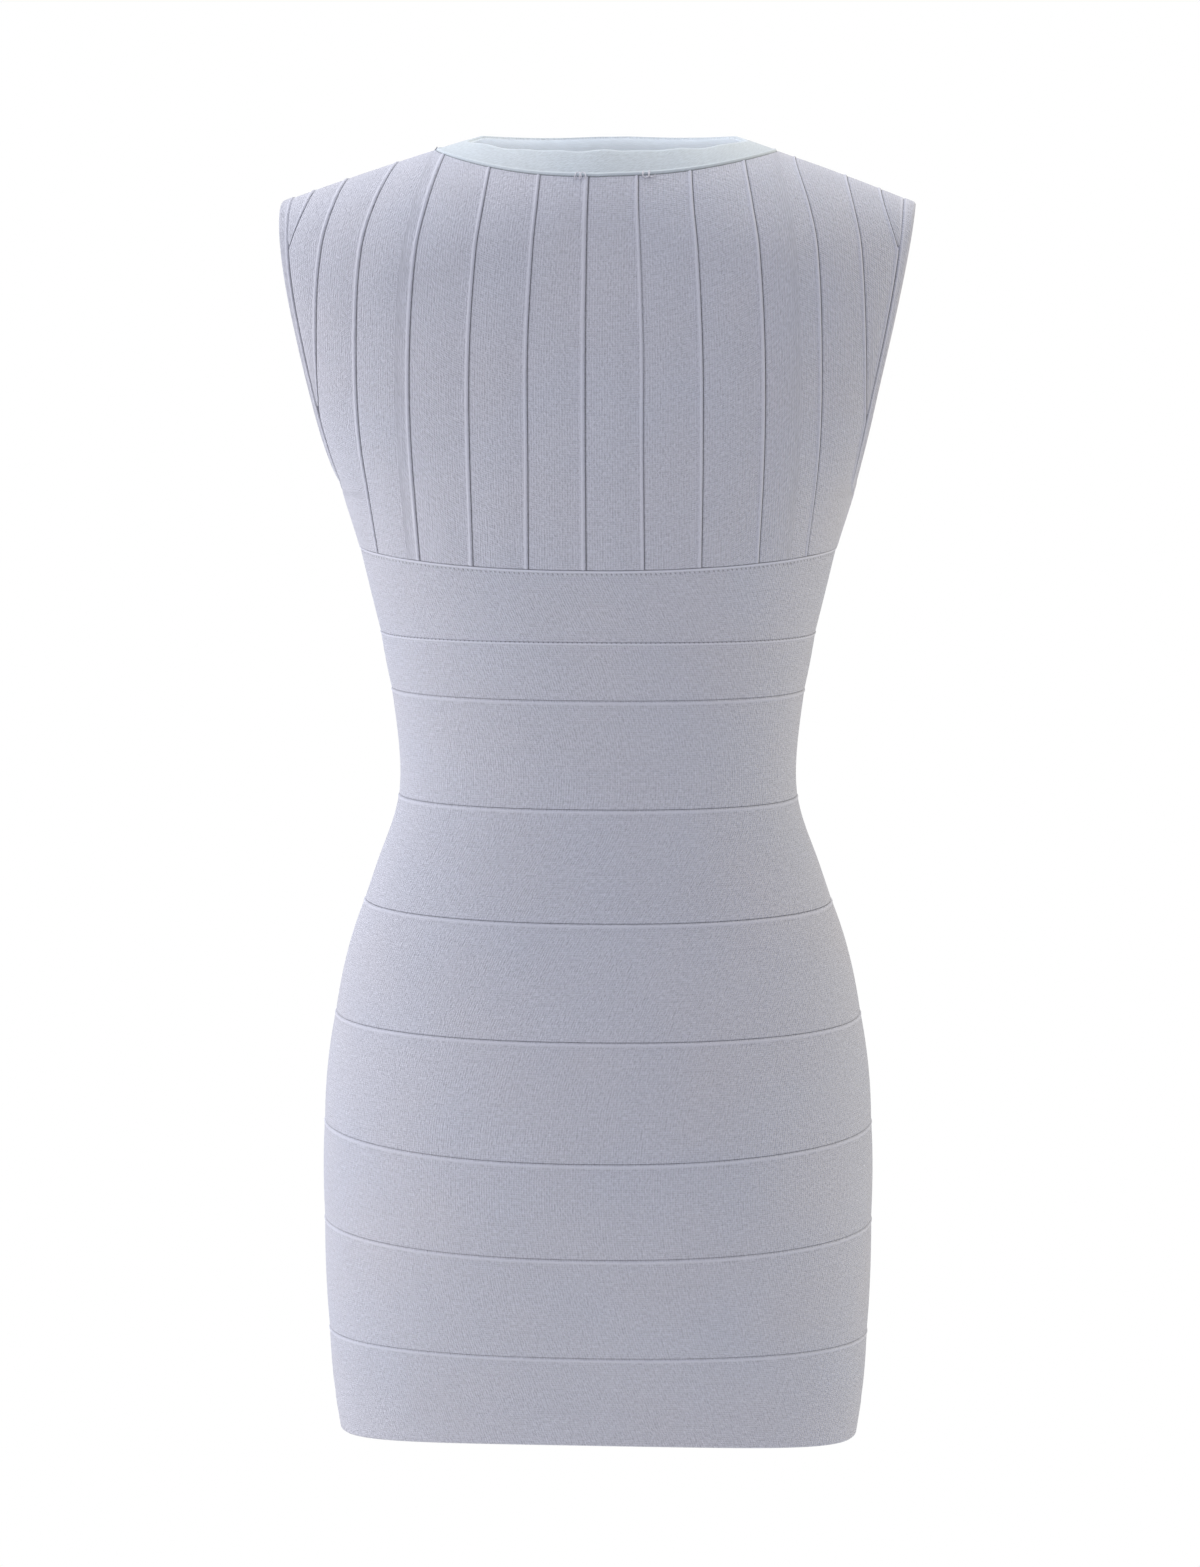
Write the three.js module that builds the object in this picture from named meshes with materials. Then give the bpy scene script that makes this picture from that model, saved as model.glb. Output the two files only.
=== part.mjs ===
// Sleeveless bodycon dress of knitted bandage strips, filled out as it is when worn, and empty.
// Millimetres, +Z up. The back faces -Y, the front faces +Y, and the left armhole is at -X.
// The origin is the middle of the neck opening, at the height where the shoulders meet the neck.

import * as THREE from 'three';

// Cloth and sewing
const WALL = 2.0; // the doubled bandage knit
const SEAM_GAP = 0.3; // between two pieces where they are sewn
const LIP_RISE = 0.9; // a turned seam edge stands this proud of the strip
const LIP_WIDTH = 3.0;
const NARROWEST_END = 1.2; // a strip that runs out into the armhole stops at this width
const SMALL_STEP = 1e-3; // for slopes, and to tell two nearly equal places apart
const SOLVE_TURNS = 60; // each turn of a search halves what is left of the error

// Level sections of the dress: half the width, and the depth behind and before the side line.
const SECTIONS = [
  { z: 12, half: 188.0, back: 75, front: 75 },
  { z: -16, half: 188.0, back: 82.5, front: 82 },
  { z: -31, half: 187.8, back: 86, front: 85.5 },
  { z: -58, half: 184.3, back: 93, front: 91 },
  { z: -100, half: 176.3, back: 101.5, front: 101 },
  { z: -145, half: 166.4, back: 104, front: 108 },
  { z: -175, half: 159.6, back: 102.5, front: 113 },
  { z: -205, half: 151.7, back: 100, front: 115 },
  { z: -240, half: 141.0, back: 96.5, front: 112 },
  { z: -285, half: 130.3, back: 87, front: 101 },
  { z: -325, half: 123.0, back: 79.5, front: 92 },
  { z: -355, half: 119.0, back: 75.5, front: 88.5 },
  { z: -378, half: 118.6, back: 75, front: 88 },
  { z: -400, half: 122.4, back: 77.5, front: 90 },
  { z: -430, half: 133.2, back: 86, front: 95 },
  { z: -475, half: 148.6, back: 99.5, front: 101 },
  { z: -520, half: 158.5, back: 112, front: 104 },
  { z: -567, half: 164.2, back: 121, front: 104 },
  { z: -620, half: 165.7, back: 122, front: 101 },
  { z: -690, half: 164.4, back: 108, front: 96 },
  { z: -740, half: 161.5, back: 92, front: 92 },
  { z: -777, half: 157.0, back: 82, front: 89 },
];
const SQUARENESS = 2.2; // exponent of the sections: 2 is an ellipse, more is squarer

// The top of the shoulder falls by slope |c| + bend c c, eased over the middle, and rounds off over
// the height round. c is the distance from its highest place, which is offCentre from the middle
// for the neck, and from the middle itself at half the shoulders' width.
const SHOULDER = { top: 26.6, slope: 0.251, bend: 0.00036, ease: 15, offCentre: 5.9, round: 70 };
const SHOULDER_HALF = 188;

// The armhole seen from the side: an oval below its centre, and rounded off by the shoulder above.
const ARMHOLE = { centre: -118, half: 52, bottom: -198 };
const ARMHOLE_BINDING = { deeper: 3.8, lower: 6.5, rise: 0.5 };

// The neckline falls below the shoulder line by drop (1 - |x / half| ^ power), a little off centre.
// The front's rim stays up at the shoulder line as far as frontRise, so it stands above the back's.
const NECK = { shift: 5, power: 1.55, seamHalf: 101, rimHalf: 82, frontRise: 74 };
const NECK_DROPS = { back: { seam: 39, rim: 24 }, front: { seam: 34.5, rim: 18 } };
const NECK_BINDING_RISE = { seam: 0.9, middle: 0.4, rim: 0.4 };

// Upright seams of the bodice on each side of the centre one: their distance from it by height.
const UPRIGHT_SEAMS = [
  { z: 0, first: 28.0, second: 57.5, third: 87.0, fourth: 114.0, fifth: 141.0, sixth: 160.0 },
  { z: -31, first: 29.2, second: 60.8, third: 94.4, fourth: 126.3, fifth: 151.5, sixth: 169.0 },
  { z: -58, first: 31.1, second: 64.1, third: 99.3, fourth: 132.5, fifth: 157.4, sixth: 178.0 },
  { z: -115, first: 33.4, second: 67.3, third: 102.8, fourth: 135.2, fifth: 160.4, sixth: 190.0 },
  { z: -173, first: 33.4, second: 67.6, third: 102.6, fourth: 134.0, fifth: 160.4, sixth: 190.0 },
  { z: -240, first: 33.7, second: 66.5, third: 99.0, fourth: 126.0, fifth: 160.4, sixth: 190.0 },
];
const SEAM_NAMES = ['first', 'second', 'third', 'fourth', 'fifth', 'sixth'];
const STRIPS_PER_SIDE = SEAM_NAMES.length + 1;
const MIDDLE_COLUMNS = [1, 1, 1, 2, 2, 1, 1]; // within a strip, counted from the centre outwards
const NECK_END_STRIP = 4; // the strip, counted from the centre, that the neckline ends in

// Level seams of the skirt and the hem: their height at the sides and at the centre back, and how
// many rows the band under each has between its edges.
const LEVEL_SEAMS = [
  { side: -236, centreBack: -242, rows: 1 },
  { side: -287, centreBack: -285, rows: 1 },
  { side: -321, centreBack: -320, rows: 2 },
  { side: -385.5, centreBack: -385, rows: 2 },
  { side: -449, centreBack: -450, rows: 2 },
  { side: -517, centreBack: -517, rows: 1 },
  { side: -583, centreBack: -587, rows: 1 },
  { side: -643, centreBack: -645, rows: 1 },
  { side: -712, centreBack: -708, rows: 1 },
  { side: -777, centreBack: -766, rows: 0 },
];

// Heights where the strips' rows cross the armhole and the side seam.
const STRIP_ROWS = [-33, -39, -50, -66, -90, -118, -145, -170, -188, -198, -204, -222];

const knit = new THREE.MeshStandardMaterial({ color: 0xb6b8c6, roughness: 0.9, metalness: 0 });
const trim = new THREE.MeshStandardMaterial({ color: 0xcfdbe4, roughness: 0.75, metalness: 0 });

// A smooth line through one column of a table that is sorted from the top down.
function lineThrough(rows, column) {
  const last = rows.length - 1;
  const slopeAt = (i) => {
    const above = rows[Math.max(i - 1, 0)];
    const below = rows[Math.min(i + 1, last)];
    return (below[column] - above[column]) / (below.z - above.z);
  };
  return (z) => {
    const height = Math.min(Math.max(z, rows[last].z), rows[0].z);
    const i = Math.min(Math.max(rows.findIndex((row) => row.z <= height), 1), last) - 1;
    const span = rows[i + 1].z - rows[i].z;
    const s = (height - rows[i].z) / span;
    const rise = rows[i + 1][column] - rows[i][column];
    const bendStart = slopeAt(i) * span - rise;
    const bendEnd = rise - slopeAt(i + 1) * span;
    return rows[i][column] + s * rise + s * (1 - s) * ((1 - s) * bendStart + s * bendEnd);
  };
}

const halfWidth = lineThrough(SECTIONS, 'half');
const depths = { back: lineThrough(SECTIONS, 'back'), front: lineThrough(SECTIONS, 'front') };
const uprightSeams = SEAM_NAMES.map((name) => lineThrough(UPRIGHT_SEAMS, name));
const facing = { back: -1, front: 1 };

function shoulderTop(x) {
  const { top, slope, bend, ease, offCentre } = SHOULDER;
  const c = x - offCentre * (1 - (x / SHOULDER_HALF) ** 2);
  return top - slope * Math.hypot(c, ease) - bend * c * c;
}

// How much of its full depth the cloth has reached at a distance below the top of the shoulder.
function roundedOff(below) {
  const left = 1 - Math.min(Math.max(below, 0) / SHOULDER.round, 1);
  return Math.sqrt(1 - left * left);
}

// Half the armhole's opening at a height, for an oval that reaches deeper and lower than its edge.
function armholeDepth(z, deeper = 0, lower = 0) {
  const reach = ARMHOLE.centre - ARMHOLE.bottom + lower;
  const below = Math.max(ARMHOLE.centre - z, 0) / reach;
  return below < 1 ? (ARMHOLE.half + deeper) * Math.sqrt(1 - below * below) : 0;
}

// Where a section would close if the armhole did not cut it, as a share of its real half width.
function sectionSpread(side, z) {
  const cut = (armholeDepth(z) / depths[side](z)) ** SQUARENESS;
  return (1 - cut) ** (-1 / SQUARENESS);
}

// On a section, angle 0 is the centre line: x goes with the sine and the depth with the cosine.
function angleOf(side, x, z) {
  const reach = Math.min(Math.abs(x) / (halfWidth(z) * sectionSpread(side, z)), 1);
  return Math.sign(x) * Math.asin(reach ** (SQUARENESS / 2));
}

function widthAt(side, angle, z) {
  const reach = Math.abs(Math.sin(angle)) ** (2 / SQUARENESS);
  return Math.sign(angle) * halfWidth(z) * sectionSpread(side, z) * reach;
}

// A point of the dress's outside, at an angle on the section of that height.
function skinAt(side, angle, z, belowShoulder) {
  const x = widthAt(side, angle, z);
  const depth = depths[side](z) * Math.abs(Math.cos(angle)) ** (2 / SQUARENESS);
  const below = belowShoulder ?? shoulderTop(x) - z;
  return new THREE.Vector3(x, facing[side] * depth * roundedOff(below), z);
}

// The same outside near the shoulder: root is the square root of the distance below its top, and
// is negative just over the top, which keeps the surface smooth there.
function shoulderAt(side, x, root) {
  const z = shoulderTop(x) - root * root;
  const point = skinAt(side, angleOf(side, x, z), z, root * root);
  point.y *= root < 0 ? -1 : 1;
  return point;
}

// The outward direction of the cloth, from two short steps along it.
function outwardAt(side, angle, z) {
  const step = SMALL_STEP;
  const x = widthAt(side, angle, z);
  const below = shoulderTop(x) - z;
  let across;
  let along;
  if (below < SHOULDER.round) {
    const root = Math.sqrt(Math.max(below, 0));
    across = shoulderAt(side, x + step, root).sub(shoulderAt(side, x - step, root));
    along = shoulderAt(side, x, root + step).sub(shoulderAt(side, x, root - step));
  } else {
    across = skinAt(side, angle + step, z).sub(skinAt(side, angle - step, z));
    const atSide = Math.abs(angle) > Math.PI / 2 - step; // there the next step would turn back
    if (atSide) across.set(0, -facing[side] * Math.sign(angle), 0);
    along = skinAt(side, angle, z - 1).sub(skinAt(side, angle, z + 1));
  }
  return across.cross(along).multiplyScalar(-facing[side]).normalize();
}

// One sample of a piece: the point on the outside, the way out, and how far it is raised.
function sample(side, angle, z, raised = 0) {
  return { point: skinAt(side, angle, z), outward: outwardAt(side, angle, z), raised };
}

// A wall of cloth from rows of samples. Its inside is plain. Rows may close on themselves, and
// mirrored rows are listed the other way round, so that their faces still look outwards.
function clothPiece(name, rows, material, { closed = false, mirrored = false }) {
  const across = rows[0].length;
  const spots = rows.flat();
  const outer = spots.map((s) => s.point.clone().addScaledVector(s.outward, s.raised));
  const inner = spots.map((s) => s.point.clone().addScaledVector(s.outward, -WALL));
  const faces = [];
  const quad = (a, b, c, d) => faces.push(...(mirrored ? [a, c, b, a, d, c] : [a, b, c, a, c, d]));
  const steps = closed ? across : across - 1;
  for (let j = 0; j < rows.length - 1; j += 1) {
    for (let i = 0; i < steps; i += 1) {
      const [a, b] = [j * across + i, j * across + ((i + 1) % across)];
      const [c, d] = [b + across, a + across];
      quad(a, d, c, b);
      quad(a + outer.length, b + outer.length, c + outer.length, d + outer.length);
    }
  }
  const rim = (a, b) => quad(a, b, b + outer.length, a + outer.length);
  const bottom = (rows.length - 1) * across;
  for (let i = 0; i < steps; i += 1) {
    rim(i, (i + 1) % across);
    rim(bottom + ((i + 1) % across), bottom + i);
  }
  if (!closed) {
    for (let j = 0; j < rows.length - 1; j += 1) {
      rim((j + 1) * across, j * across);
      rim(j * across + across - 1, (j + 1) * across + across - 1);
    }
  }
  const geometry = new THREE.BufferGeometry();
  const places = [...outer, ...inner].flatMap((p) => [p.x, p.y, p.z]);
  geometry.setAttribute('position', new THREE.Float32BufferAttribute(places, 3));
  geometry.setIndex(faces);
  geometry.computeVertexNormals();
  const mesh = new THREE.Mesh(geometry, material);
  mesh.name = name;
  return mesh;
}

// The height of a level seam at an angle: it dips or lifts only towards the centre back.
function levelSeam(seam, side, angle) {
  const share = side === 'back' ? Math.cos(angle) ** 2 : 0;
  return seam.side + (seam.centreBack - seam.side) * share;
}

// The armhole seam, and below the armhole the side seam, as a distance from the centre line.
function outerSeam(side, z, gap) {
  const { deeper, lower } = ARMHOLE_BINDING;
  const share = (armholeDepth(z, deeper + gap, lower + gap) / depths[side](z)) ** SQUARENESS;
  return halfWidth(z) * sectionSpread(side, z) * (1 - share) ** (1 / SQUARENESS);
}

// The neckline's fall below the shoulder line, for the seam under the binding or for its rim.
function neckDrop(x, drop, half) {
  const share = Math.abs((x - NECK.shift) / half) ** NECK.power;
  return drop * Math.max(1 - share, 0);
}

// The height of a row of the bodice at x: row 0 is its top edge and row 1 its lowest seam.
function bodiceHeight(side, x, row, angle) {
  const gap = SEAM_GAP / 2;
  const drop = neckDrop(x, NECK_DROPS[side].seam + gap, NECK.seamHalf + gap);
  const top = shoulderTop(x) - drop;
  const bottom = levelSeam(LEVEL_SEAMS[0], side, angle) + gap;
  return top + (bottom - top) * row;
}

// The strips' rows as shares of the bodice's height, with one exactly at the armhole's lowest point.
function bodiceRows() {
  const corner = ARMHOLE.bottom - ARMHOLE_BINDING.lower - SEAM_GAP / 2;
  const bottom = LEVEL_SEAMS[0].side + SEAM_GAP / 2;
  const heights = [...STRIP_ROWS, corner].sort((a, b) => b - a);
  const shares = heights.map((z) => {
    const top = shoulderTop(outerSeam('back', z, SEAM_GAP / 2));
    return (top - z) / (top - bottom);
  });
  return { shares: [0, ...shares, 1], cornerRow: heights.indexOf(corner) + 1 };
}
const ROWS = bodiceRows();

// Solves for the height where a seam, given as a distance from the centre line, crosses a row.
function seamPlace(side, row, distance) {
  let z = ARMHOLE.centre;
  let angle = 0;
  for (let turn = 0; turn < SOLVE_TURNS; turn += 1) {
    const x = distance(z);
    angle = angleOf(side, x, z);
    z = (z + bodiceHeight(side, x, row, angle)) / 2;
  }
  return { angle, z, x: distance(z) };
}

// Seam number count is to the right of the centre seam when positive; the outermost is the armhole.
function seamDistance(side, count, inset) {
  const gap = SEAM_GAP / 2;
  if (count === 0) return () => inset * gap;
  const towards = Math.sign(count);
  const limit = (z) => outerSeam(side, z, gap);
  if (Math.abs(count) === STRIPS_PER_SIDE) return (z) => towards * limit(z);
  const line = uprightSeams[Math.abs(count) - 1];
  return (z) => towards * Math.min(line(z) + towards * inset * gap, limit(z));
}

// Shares that part a width evenly.
function evenShares(count) {
  return Array.from({ length: count }, (_, i) => (i + 1) / (count + 1));
}

// A strip between seam number left and the next one, with its turned edge on the right. The last
// middle column of the strip where the neckline ends starts at that end.
function strip(side, left, name) {
  const leftSeam = seamDistance(side, left, 1);
  const rightSeam = seamDistance(side, left + 1, -1);
  const counted = left >= 0 ? left + 1 : -left;
  const neckEnd = NECK.shift + Math.sign(left + 0.5) * (NECK.seamHalf + SEAM_GAP / 2);
  const middles = evenShares(MIDDLE_COLUMNS[counted - 1]);
  const rows = [];
  let neckShift = 0;
  for (const row of ROWS.shares) {
    const from = seamPlace(side, row, leftSeam);
    const to = seamPlace(side, row, rightSeam);
    if (to.x - from.x < NARROWEST_END) break;
    if (row === 0 && counted === NECK_END_STRIP) {
      const end = angleOf(side, neckEnd, shoulderTop(neckEnd));
      neckShift = (end - from.angle) / (to.angle - from.angle) - middles.at(-1);
    }
    const length = skinAt(side, from.angle, from.z).distanceTo(skinAt(side, to.angle, to.z));
    const lip = Math.min(LIP_WIDTH / length, 0.2);
    const columns = [0, ...middles, 1 - lip, 1];
    columns[middles.length] += neckShift * (1 - row);
    rows.push(columns.map((u) => {
      const angle = from.angle + (to.angle - from.angle) * u;
      let z = from.z + (to.z - from.z) * u;
      for (let turn = 0; turn < SOLVE_TURNS; turn += 1) {
        z = (z + bodiceHeight(side, widthAt(side, angle, z), row, angle)) / 2;
      }
      const spot = sample(side, angle, z, u === 1 ? LIP_RISE : 0);
      spot.point.y += facing[side] * SEAM_GAP / 2;
      return spot;
    }));
  }
  return { mesh: clothPiece(name, rows, knit, { mirrored: side === 'back' }), topRow: rows[0] };
}

// The angles of a quarter of a band, from the centre to the side, which carry on the strips'.
function bandQuarter() {
  const { side: z } = LEVEL_SEAMS[0];
  const seams = uprightSeams.map((line) => angleOf('back', line(z), z));
  const bounds = [0, ...seams.filter((angle) => angle < Math.PI / 2 - SMALL_STEP), Math.PI / 2];
  return bounds.slice(1).flatMap((end, i) => {
    const start = bounds[i];
    return [0, ...evenShares(MIDDLE_COLUMNS[i])].map((u) => start + (end - start) * u);
  });
}

// A band right round the body, between a level seam and the next, with its turned edge on top.
function band(upper, lower, name) {
  const gap = SEAM_GAP / 2;
  const quarter = bandQuarter();
  const half = [-Math.PI / 2, ...quarter.slice(1).reverse().map((angle) => -angle), ...quarter];
  const around = [
    ...half.map((angle) => ({ side: 'back', angle })),
    ...half.map((angle) => ({ side: 'front', angle: -angle })),
  ];
  const places = [
    { share: 0, shift: -gap, raised: LIP_RISE },
    { share: 0, shift: -gap - LIP_WIDTH, raised: 0 },
    ...evenShares(upper.rows).map((share) => ({ share, shift: 0, raised: 0 })),
    { share: 1, shift: lower === LEVEL_SEAMS.at(-1) ? 0 : gap, raised: 0 },
  ];
  const rows = places.map(({ share, shift, raised }) => around.map(({ side, angle }) => {
    const top = levelSeam(upper, side, angle);
    const bottom = levelSeam(lower, side, angle);
    return sample(side, angle, top + (bottom - top) * share + shift, raised);
  }));
  return clothPiece(name, rows, knit, { closed: true, mirrored: true });
}

// The binding along the neckline. Its lower edge follows the strips' top points.
function neckBinding(topRows) {
  const gap = SEAM_GAP / 2;
  const edges = [
    { edge: 'seam', towardsRim: 0 },
    { edge: 'middle', towardsRim: 0.5 },
    { edge: 'rim', towardsRim: 1 },
  ];
  const between = (seam, rim, share) => seam + (rim - seam) * share;
  const reach = NECK.seamHalf + gap;
  const shares = {};
  for (const side of ['back', 'front']) {
    const inNeck = topRows[side].map((spot) => (spot.point.x - NECK.shift) / reach);
    const kept = inNeck.filter((s) => Math.abs(s) < 1 - SMALL_STEP);
    shares[side] = kept.filter((s, i) => i === 0 || (s - kept[i - 1]) * reach > 2 * SEAM_GAP);
  }
  const around = [
    { side: 'back', share: -1 },
    ...shares.back.map((share) => ({ side: 'back', share })),
    { side: 'back', share: 1 },
    ...shares.front.reverse().map((share) => ({ side: 'front', share })),
  ];
  const rows = edges.map(({ edge, towardsRim }) => around.map(({ side, share }) => {
    const { seam, rim } = NECK_DROPS[side];
    const drop = between(seam - gap, rim, towardsRim);
    const half = between(NECK.seamHalf - gap, NECK.rimHalf, towardsRim);
    const riseStart = side === 'front' ? NECK.frontRise : NECK.rimHalf;
    const fallHalf = between(NECK.seamHalf - gap, riseStart, towardsRim);
    const x = NECK.shift + share * half;
    const z = shoulderTop(x) - neckDrop(x, drop, fallHalf);
    const angle = angleOf(side, x, z);
    const point = skinAt(side, angle, z, neckDrop(x, drop, half));
    return { point, outward: outwardAt(side, angle, z), raised: NECK_BINDING_RISE[edge] };
  }));
  return clothPiece('neck_binding', rows, trim, { closed: true });
}

// The binding round one armhole, from its seam with the strips to its free edge.
function armholeBinding(towards, name) {
  const gap = SEAM_GAP / 2;
  const { deeper, lower, rise } = ARMHOLE_BINDING;
  const seamReach = ARMHOLE.centre - ARMHOLE.bottom + lower;
  const edgeReach = ARMHOLE.centre - ARMHOLE.bottom;
  const seamRow = [];
  const edgeRow = [];
  const addPair = (side, row) => {
    const atEnd = row === 0 || row === ROWS.cornerRow;
    const seam = (z) => towards * outerSeam(side, z, -gap);
    const stripEdge = (z) => towards * outerSeam(side, z, gap);
    let { z } = seamPlace(side, ROWS.shares[row], row === 0 ? seam : stripEdge);
    if (row === ROWS.cornerRow) z = ARMHOLE.bottom - lower + gap;
    const seamAngle = angleOf(side, seam(z), z);
    const below = Math.max(shoulderTop(seam(z)) - z, 0);
    let edgeZ = ARMHOLE.centre + (z - ARMHOLE.centre) * edgeReach / (seamReach - gap);
    if (z > ARMHOLE.centre) {
      for (let turn = 0; turn < SOLVE_TURNS; turn += 1) {
        edgeZ = shoulderTop(halfWidth(edgeZ)) - below;
      }
    }
    const edgeAngle = angleOf(side, towards * halfWidth(edgeZ), edgeZ);
    seamRow.push(sample(side, seamAngle, z, rise));
    edgeRow.push(sample(side, edgeAngle, edgeZ, rise));
    if (atEnd) {
      seamRow.at(-1).point.y = 0;
      edgeRow.at(-1).point.y = 0;
    }
  };
  for (let row = 0; row <= ROWS.cornerRow; row += 1) addPair('back', row);
  for (let row = ROWS.cornerRow - 1; row > 0; row -= 1) addPair('front', row);
  return clothPiece(name, [seamRow, edgeRow], knit, { closed: true, mirrored: towards < 0 });
}

const dress = new THREE.Group();

const topRows = { back: [], front: [] };
for (const side of ['back', 'front']) {
  for (let left = -STRIPS_PER_SIDE; left < STRIPS_PER_SIDE; left += 1) {
    const piece = strip(side, left, `${side}_strip_${left + STRIPS_PER_SIDE + 1}`);
    topRows[side].push(...piece.topRow);
    dress.add(piece.mesh);
  }
}
for (let i = 0; i < LEVEL_SEAMS.length - 1; i += 1) {
  dress.add(band(LEVEL_SEAMS[i], LEVEL_SEAMS[i + 1], `band_${i + 1}`));
}
dress.add(neckBinding(topRows));
dress.add(armholeBinding(-1, 'armhole_binding_left'));
dress.add(armholeBinding(1, 'armhole_binding_right'));

export default dress;
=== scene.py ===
# %% [markdown]
# # A bodycon dress in bandage knit
# This lesson dresses a finished construction model of a sleeveless bodycon dress. The dress is
# sewn from narrow stretch tapes, called bandage strips: upright ones on the bodice and level ones
# round the body. The model is loaded as a fixed frame, so every new surface is worked out from
# the same few sizes that a pattern cutter would take, and it lands exactly where its solid is.

# %% Load the frame and keep its box
import math

import bpy
import numpy as np
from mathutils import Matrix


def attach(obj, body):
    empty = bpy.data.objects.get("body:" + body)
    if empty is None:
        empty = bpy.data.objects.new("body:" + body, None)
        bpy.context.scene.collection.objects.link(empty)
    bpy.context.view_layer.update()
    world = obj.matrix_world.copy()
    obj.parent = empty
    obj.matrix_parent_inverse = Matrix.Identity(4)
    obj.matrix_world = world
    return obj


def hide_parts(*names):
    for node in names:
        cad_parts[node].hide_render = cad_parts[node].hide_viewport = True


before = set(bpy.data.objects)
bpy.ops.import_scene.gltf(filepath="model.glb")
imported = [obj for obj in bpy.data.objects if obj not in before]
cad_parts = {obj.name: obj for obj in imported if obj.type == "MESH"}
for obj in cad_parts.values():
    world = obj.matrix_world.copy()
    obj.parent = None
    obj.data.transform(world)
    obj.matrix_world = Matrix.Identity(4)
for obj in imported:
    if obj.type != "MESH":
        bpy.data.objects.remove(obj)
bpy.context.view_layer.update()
print("nodes in the frame:", len(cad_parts))

# %% [markdown]
# ## Camera, floor and light
# The photograph looks at the back from a little above and a little to the right of it. A long
# lens far away keeps upright lines nearly parallel. The camera could be dragged into place by
# eye, but its distance, angles and the height of the picture are known, so they are numbers here.

# %% Camera
MM = 0.001
CAMERA_DISTANCE = 3.2
CAMERA_TURN = math.radians(4.0)
CAMERA_TILT = math.radians(8.0)
AIM = np.array([0.0012, 0.0, -0.380])
PICTURE_HEIGHT = 0.9402  # metres of the dress's middle plane that fit the picture's height
SENSOR_HEIGHT = 36.0


def direction(turn, tilt):
    """Unit vector from the aim towards an eye that has gone round by turn and up by tilt."""
    level = math.cos(tilt)
    return np.array([math.sin(turn) * level, -math.cos(turn) * level, math.sin(tilt)])


camera = bpy.data.objects.new("camera", bpy.data.cameras.new("camera"))
bpy.context.scene.collection.objects.link(camera)
camera.location = AIM + CAMERA_DISTANCE * direction(CAMERA_TURN, CAMERA_TILT)
camera.rotation_euler = (math.pi / 2 - CAMERA_TILT, 0.0, CAMERA_TURN)
camera.data.sensor_fit = "VERTICAL"
camera.data.sensor_height = SENSOR_HEIGHT
camera.data.lens = SENSOR_HEIGHT * CAMERA_DISTANCE / PICTURE_HEIGHT
bpy.context.scene.camera = camera
print("lens, mm:", round(camera.data.lens, 1))

# %% [markdown]
# The dress hangs in the air, as if worn, so the floor lies below it. A sheet that bends up into
# a wall behind it, as in a photo studio, would show a seam of light from other sides, so the
# floor here is one wide flat disc, and a pale world stands in for the studio's walls. The camera
# sees both as plain white, whatever light they give the dress. From below the disc is
# see-through, so that it never hides the dress.

# %% Floor and world
FLOOR_HEIGHT = -1.35
FLOOR_RADIUS = 14.0
FLOOR_SIDES = 96
FLOOR_COLOR = (0.85, 0.85, 0.85, 1.0)
FLOOR_ROUGHNESS = 0.9
WORLD_LIGHT = 0.60
WORLD_COLOR = (0.97, 0.96, 1.0, 1.0)
WHITE = (1.0, 1.0, 1.0, 1.0)


def either(tree, choice, first, second):
    """Mix of two shaders: the first where the choice is 0, and the second where it is 1."""
    mix = tree.nodes.new("ShaderNodeMixShader")
    for socket, source in zip(mix.inputs, (choice, first, second)):
        tree.links.new(source, socket)
    return mix.outputs[0]


turns = np.linspace(0.0, 2.0 * np.pi, FLOOR_SIDES, endpoint=False)
rim = np.stack([np.cos(turns), np.sin(turns), np.zeros_like(turns)], axis=1) * FLOOR_RADIUS
rim[:, 2] = FLOOR_HEIGHT
floor_mesh = bpy.data.meshes.new("floor")
floor_mesh.from_pydata(rim.tolist(), [], [list(range(FLOOR_SIDES))])
floor = bpy.data.objects.new("floor", floor_mesh)
bpy.context.scene.collection.objects.link(floor)
floor_white = bpy.data.materials.new("floor_white")
floor_white.use_nodes = True
floor_mesh.materials.append(floor_white)
tree = floor_white.node_tree
matt = tree.nodes["Principled BSDF"]
matt.inputs["Base Color"].default_value = FLOOR_COLOR
matt.inputs["Roughness"].default_value = FLOOR_ROUGHNESS
glow = tree.nodes.new("ShaderNodeEmission").outputs[0]
clear = tree.nodes.new("ShaderNodeBsdfTransparent").outputs[0]
seen = tree.nodes.new("ShaderNodeLightPath").outputs["Is Camera Ray"]
underside = tree.nodes.new("ShaderNodeNewGeometry").outputs["Backfacing"]
surface = either(tree, underside, either(tree, seen, matt.outputs[0], glow), clear)
tree.links.new(surface, tree.nodes["Material Output"].inputs["Surface"])

world = bpy.data.worlds.new("studio")
world.use_nodes = True
tree = world.node_tree
light = tree.nodes["Background"]
light.inputs["Strength"].default_value = WORLD_LIGHT
light.inputs["Color"].default_value = WORLD_COLOR
backdrop = tree.nodes.new("ShaderNodeBackground")
backdrop.inputs["Color"].default_value = WHITE
seen = tree.nodes.new("ShaderNodeLightPath").outputs["Is Camera Ray"]
surface = either(tree, seen, light.outputs[0], backdrop.outputs[0])
tree.links.new(surface, tree.nodes["World Output"].inputs["Surface"])
bpy.context.scene.world = world
bpy.context.scene.view_settings.view_transform = "Standard"
print("floor's height, metres:", FLOOR_HEIGHT)

# %% [markdown]
# Large soft lamps shape the cloth: the main one at the left, with a weaker one before it, a warm
# one at the right, and two above for the tops of the shoulders, one of them beyond the dress so
# that it leaves the upper back alone. Area lamps are used because their size sets how soft the
# shading is.

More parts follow.
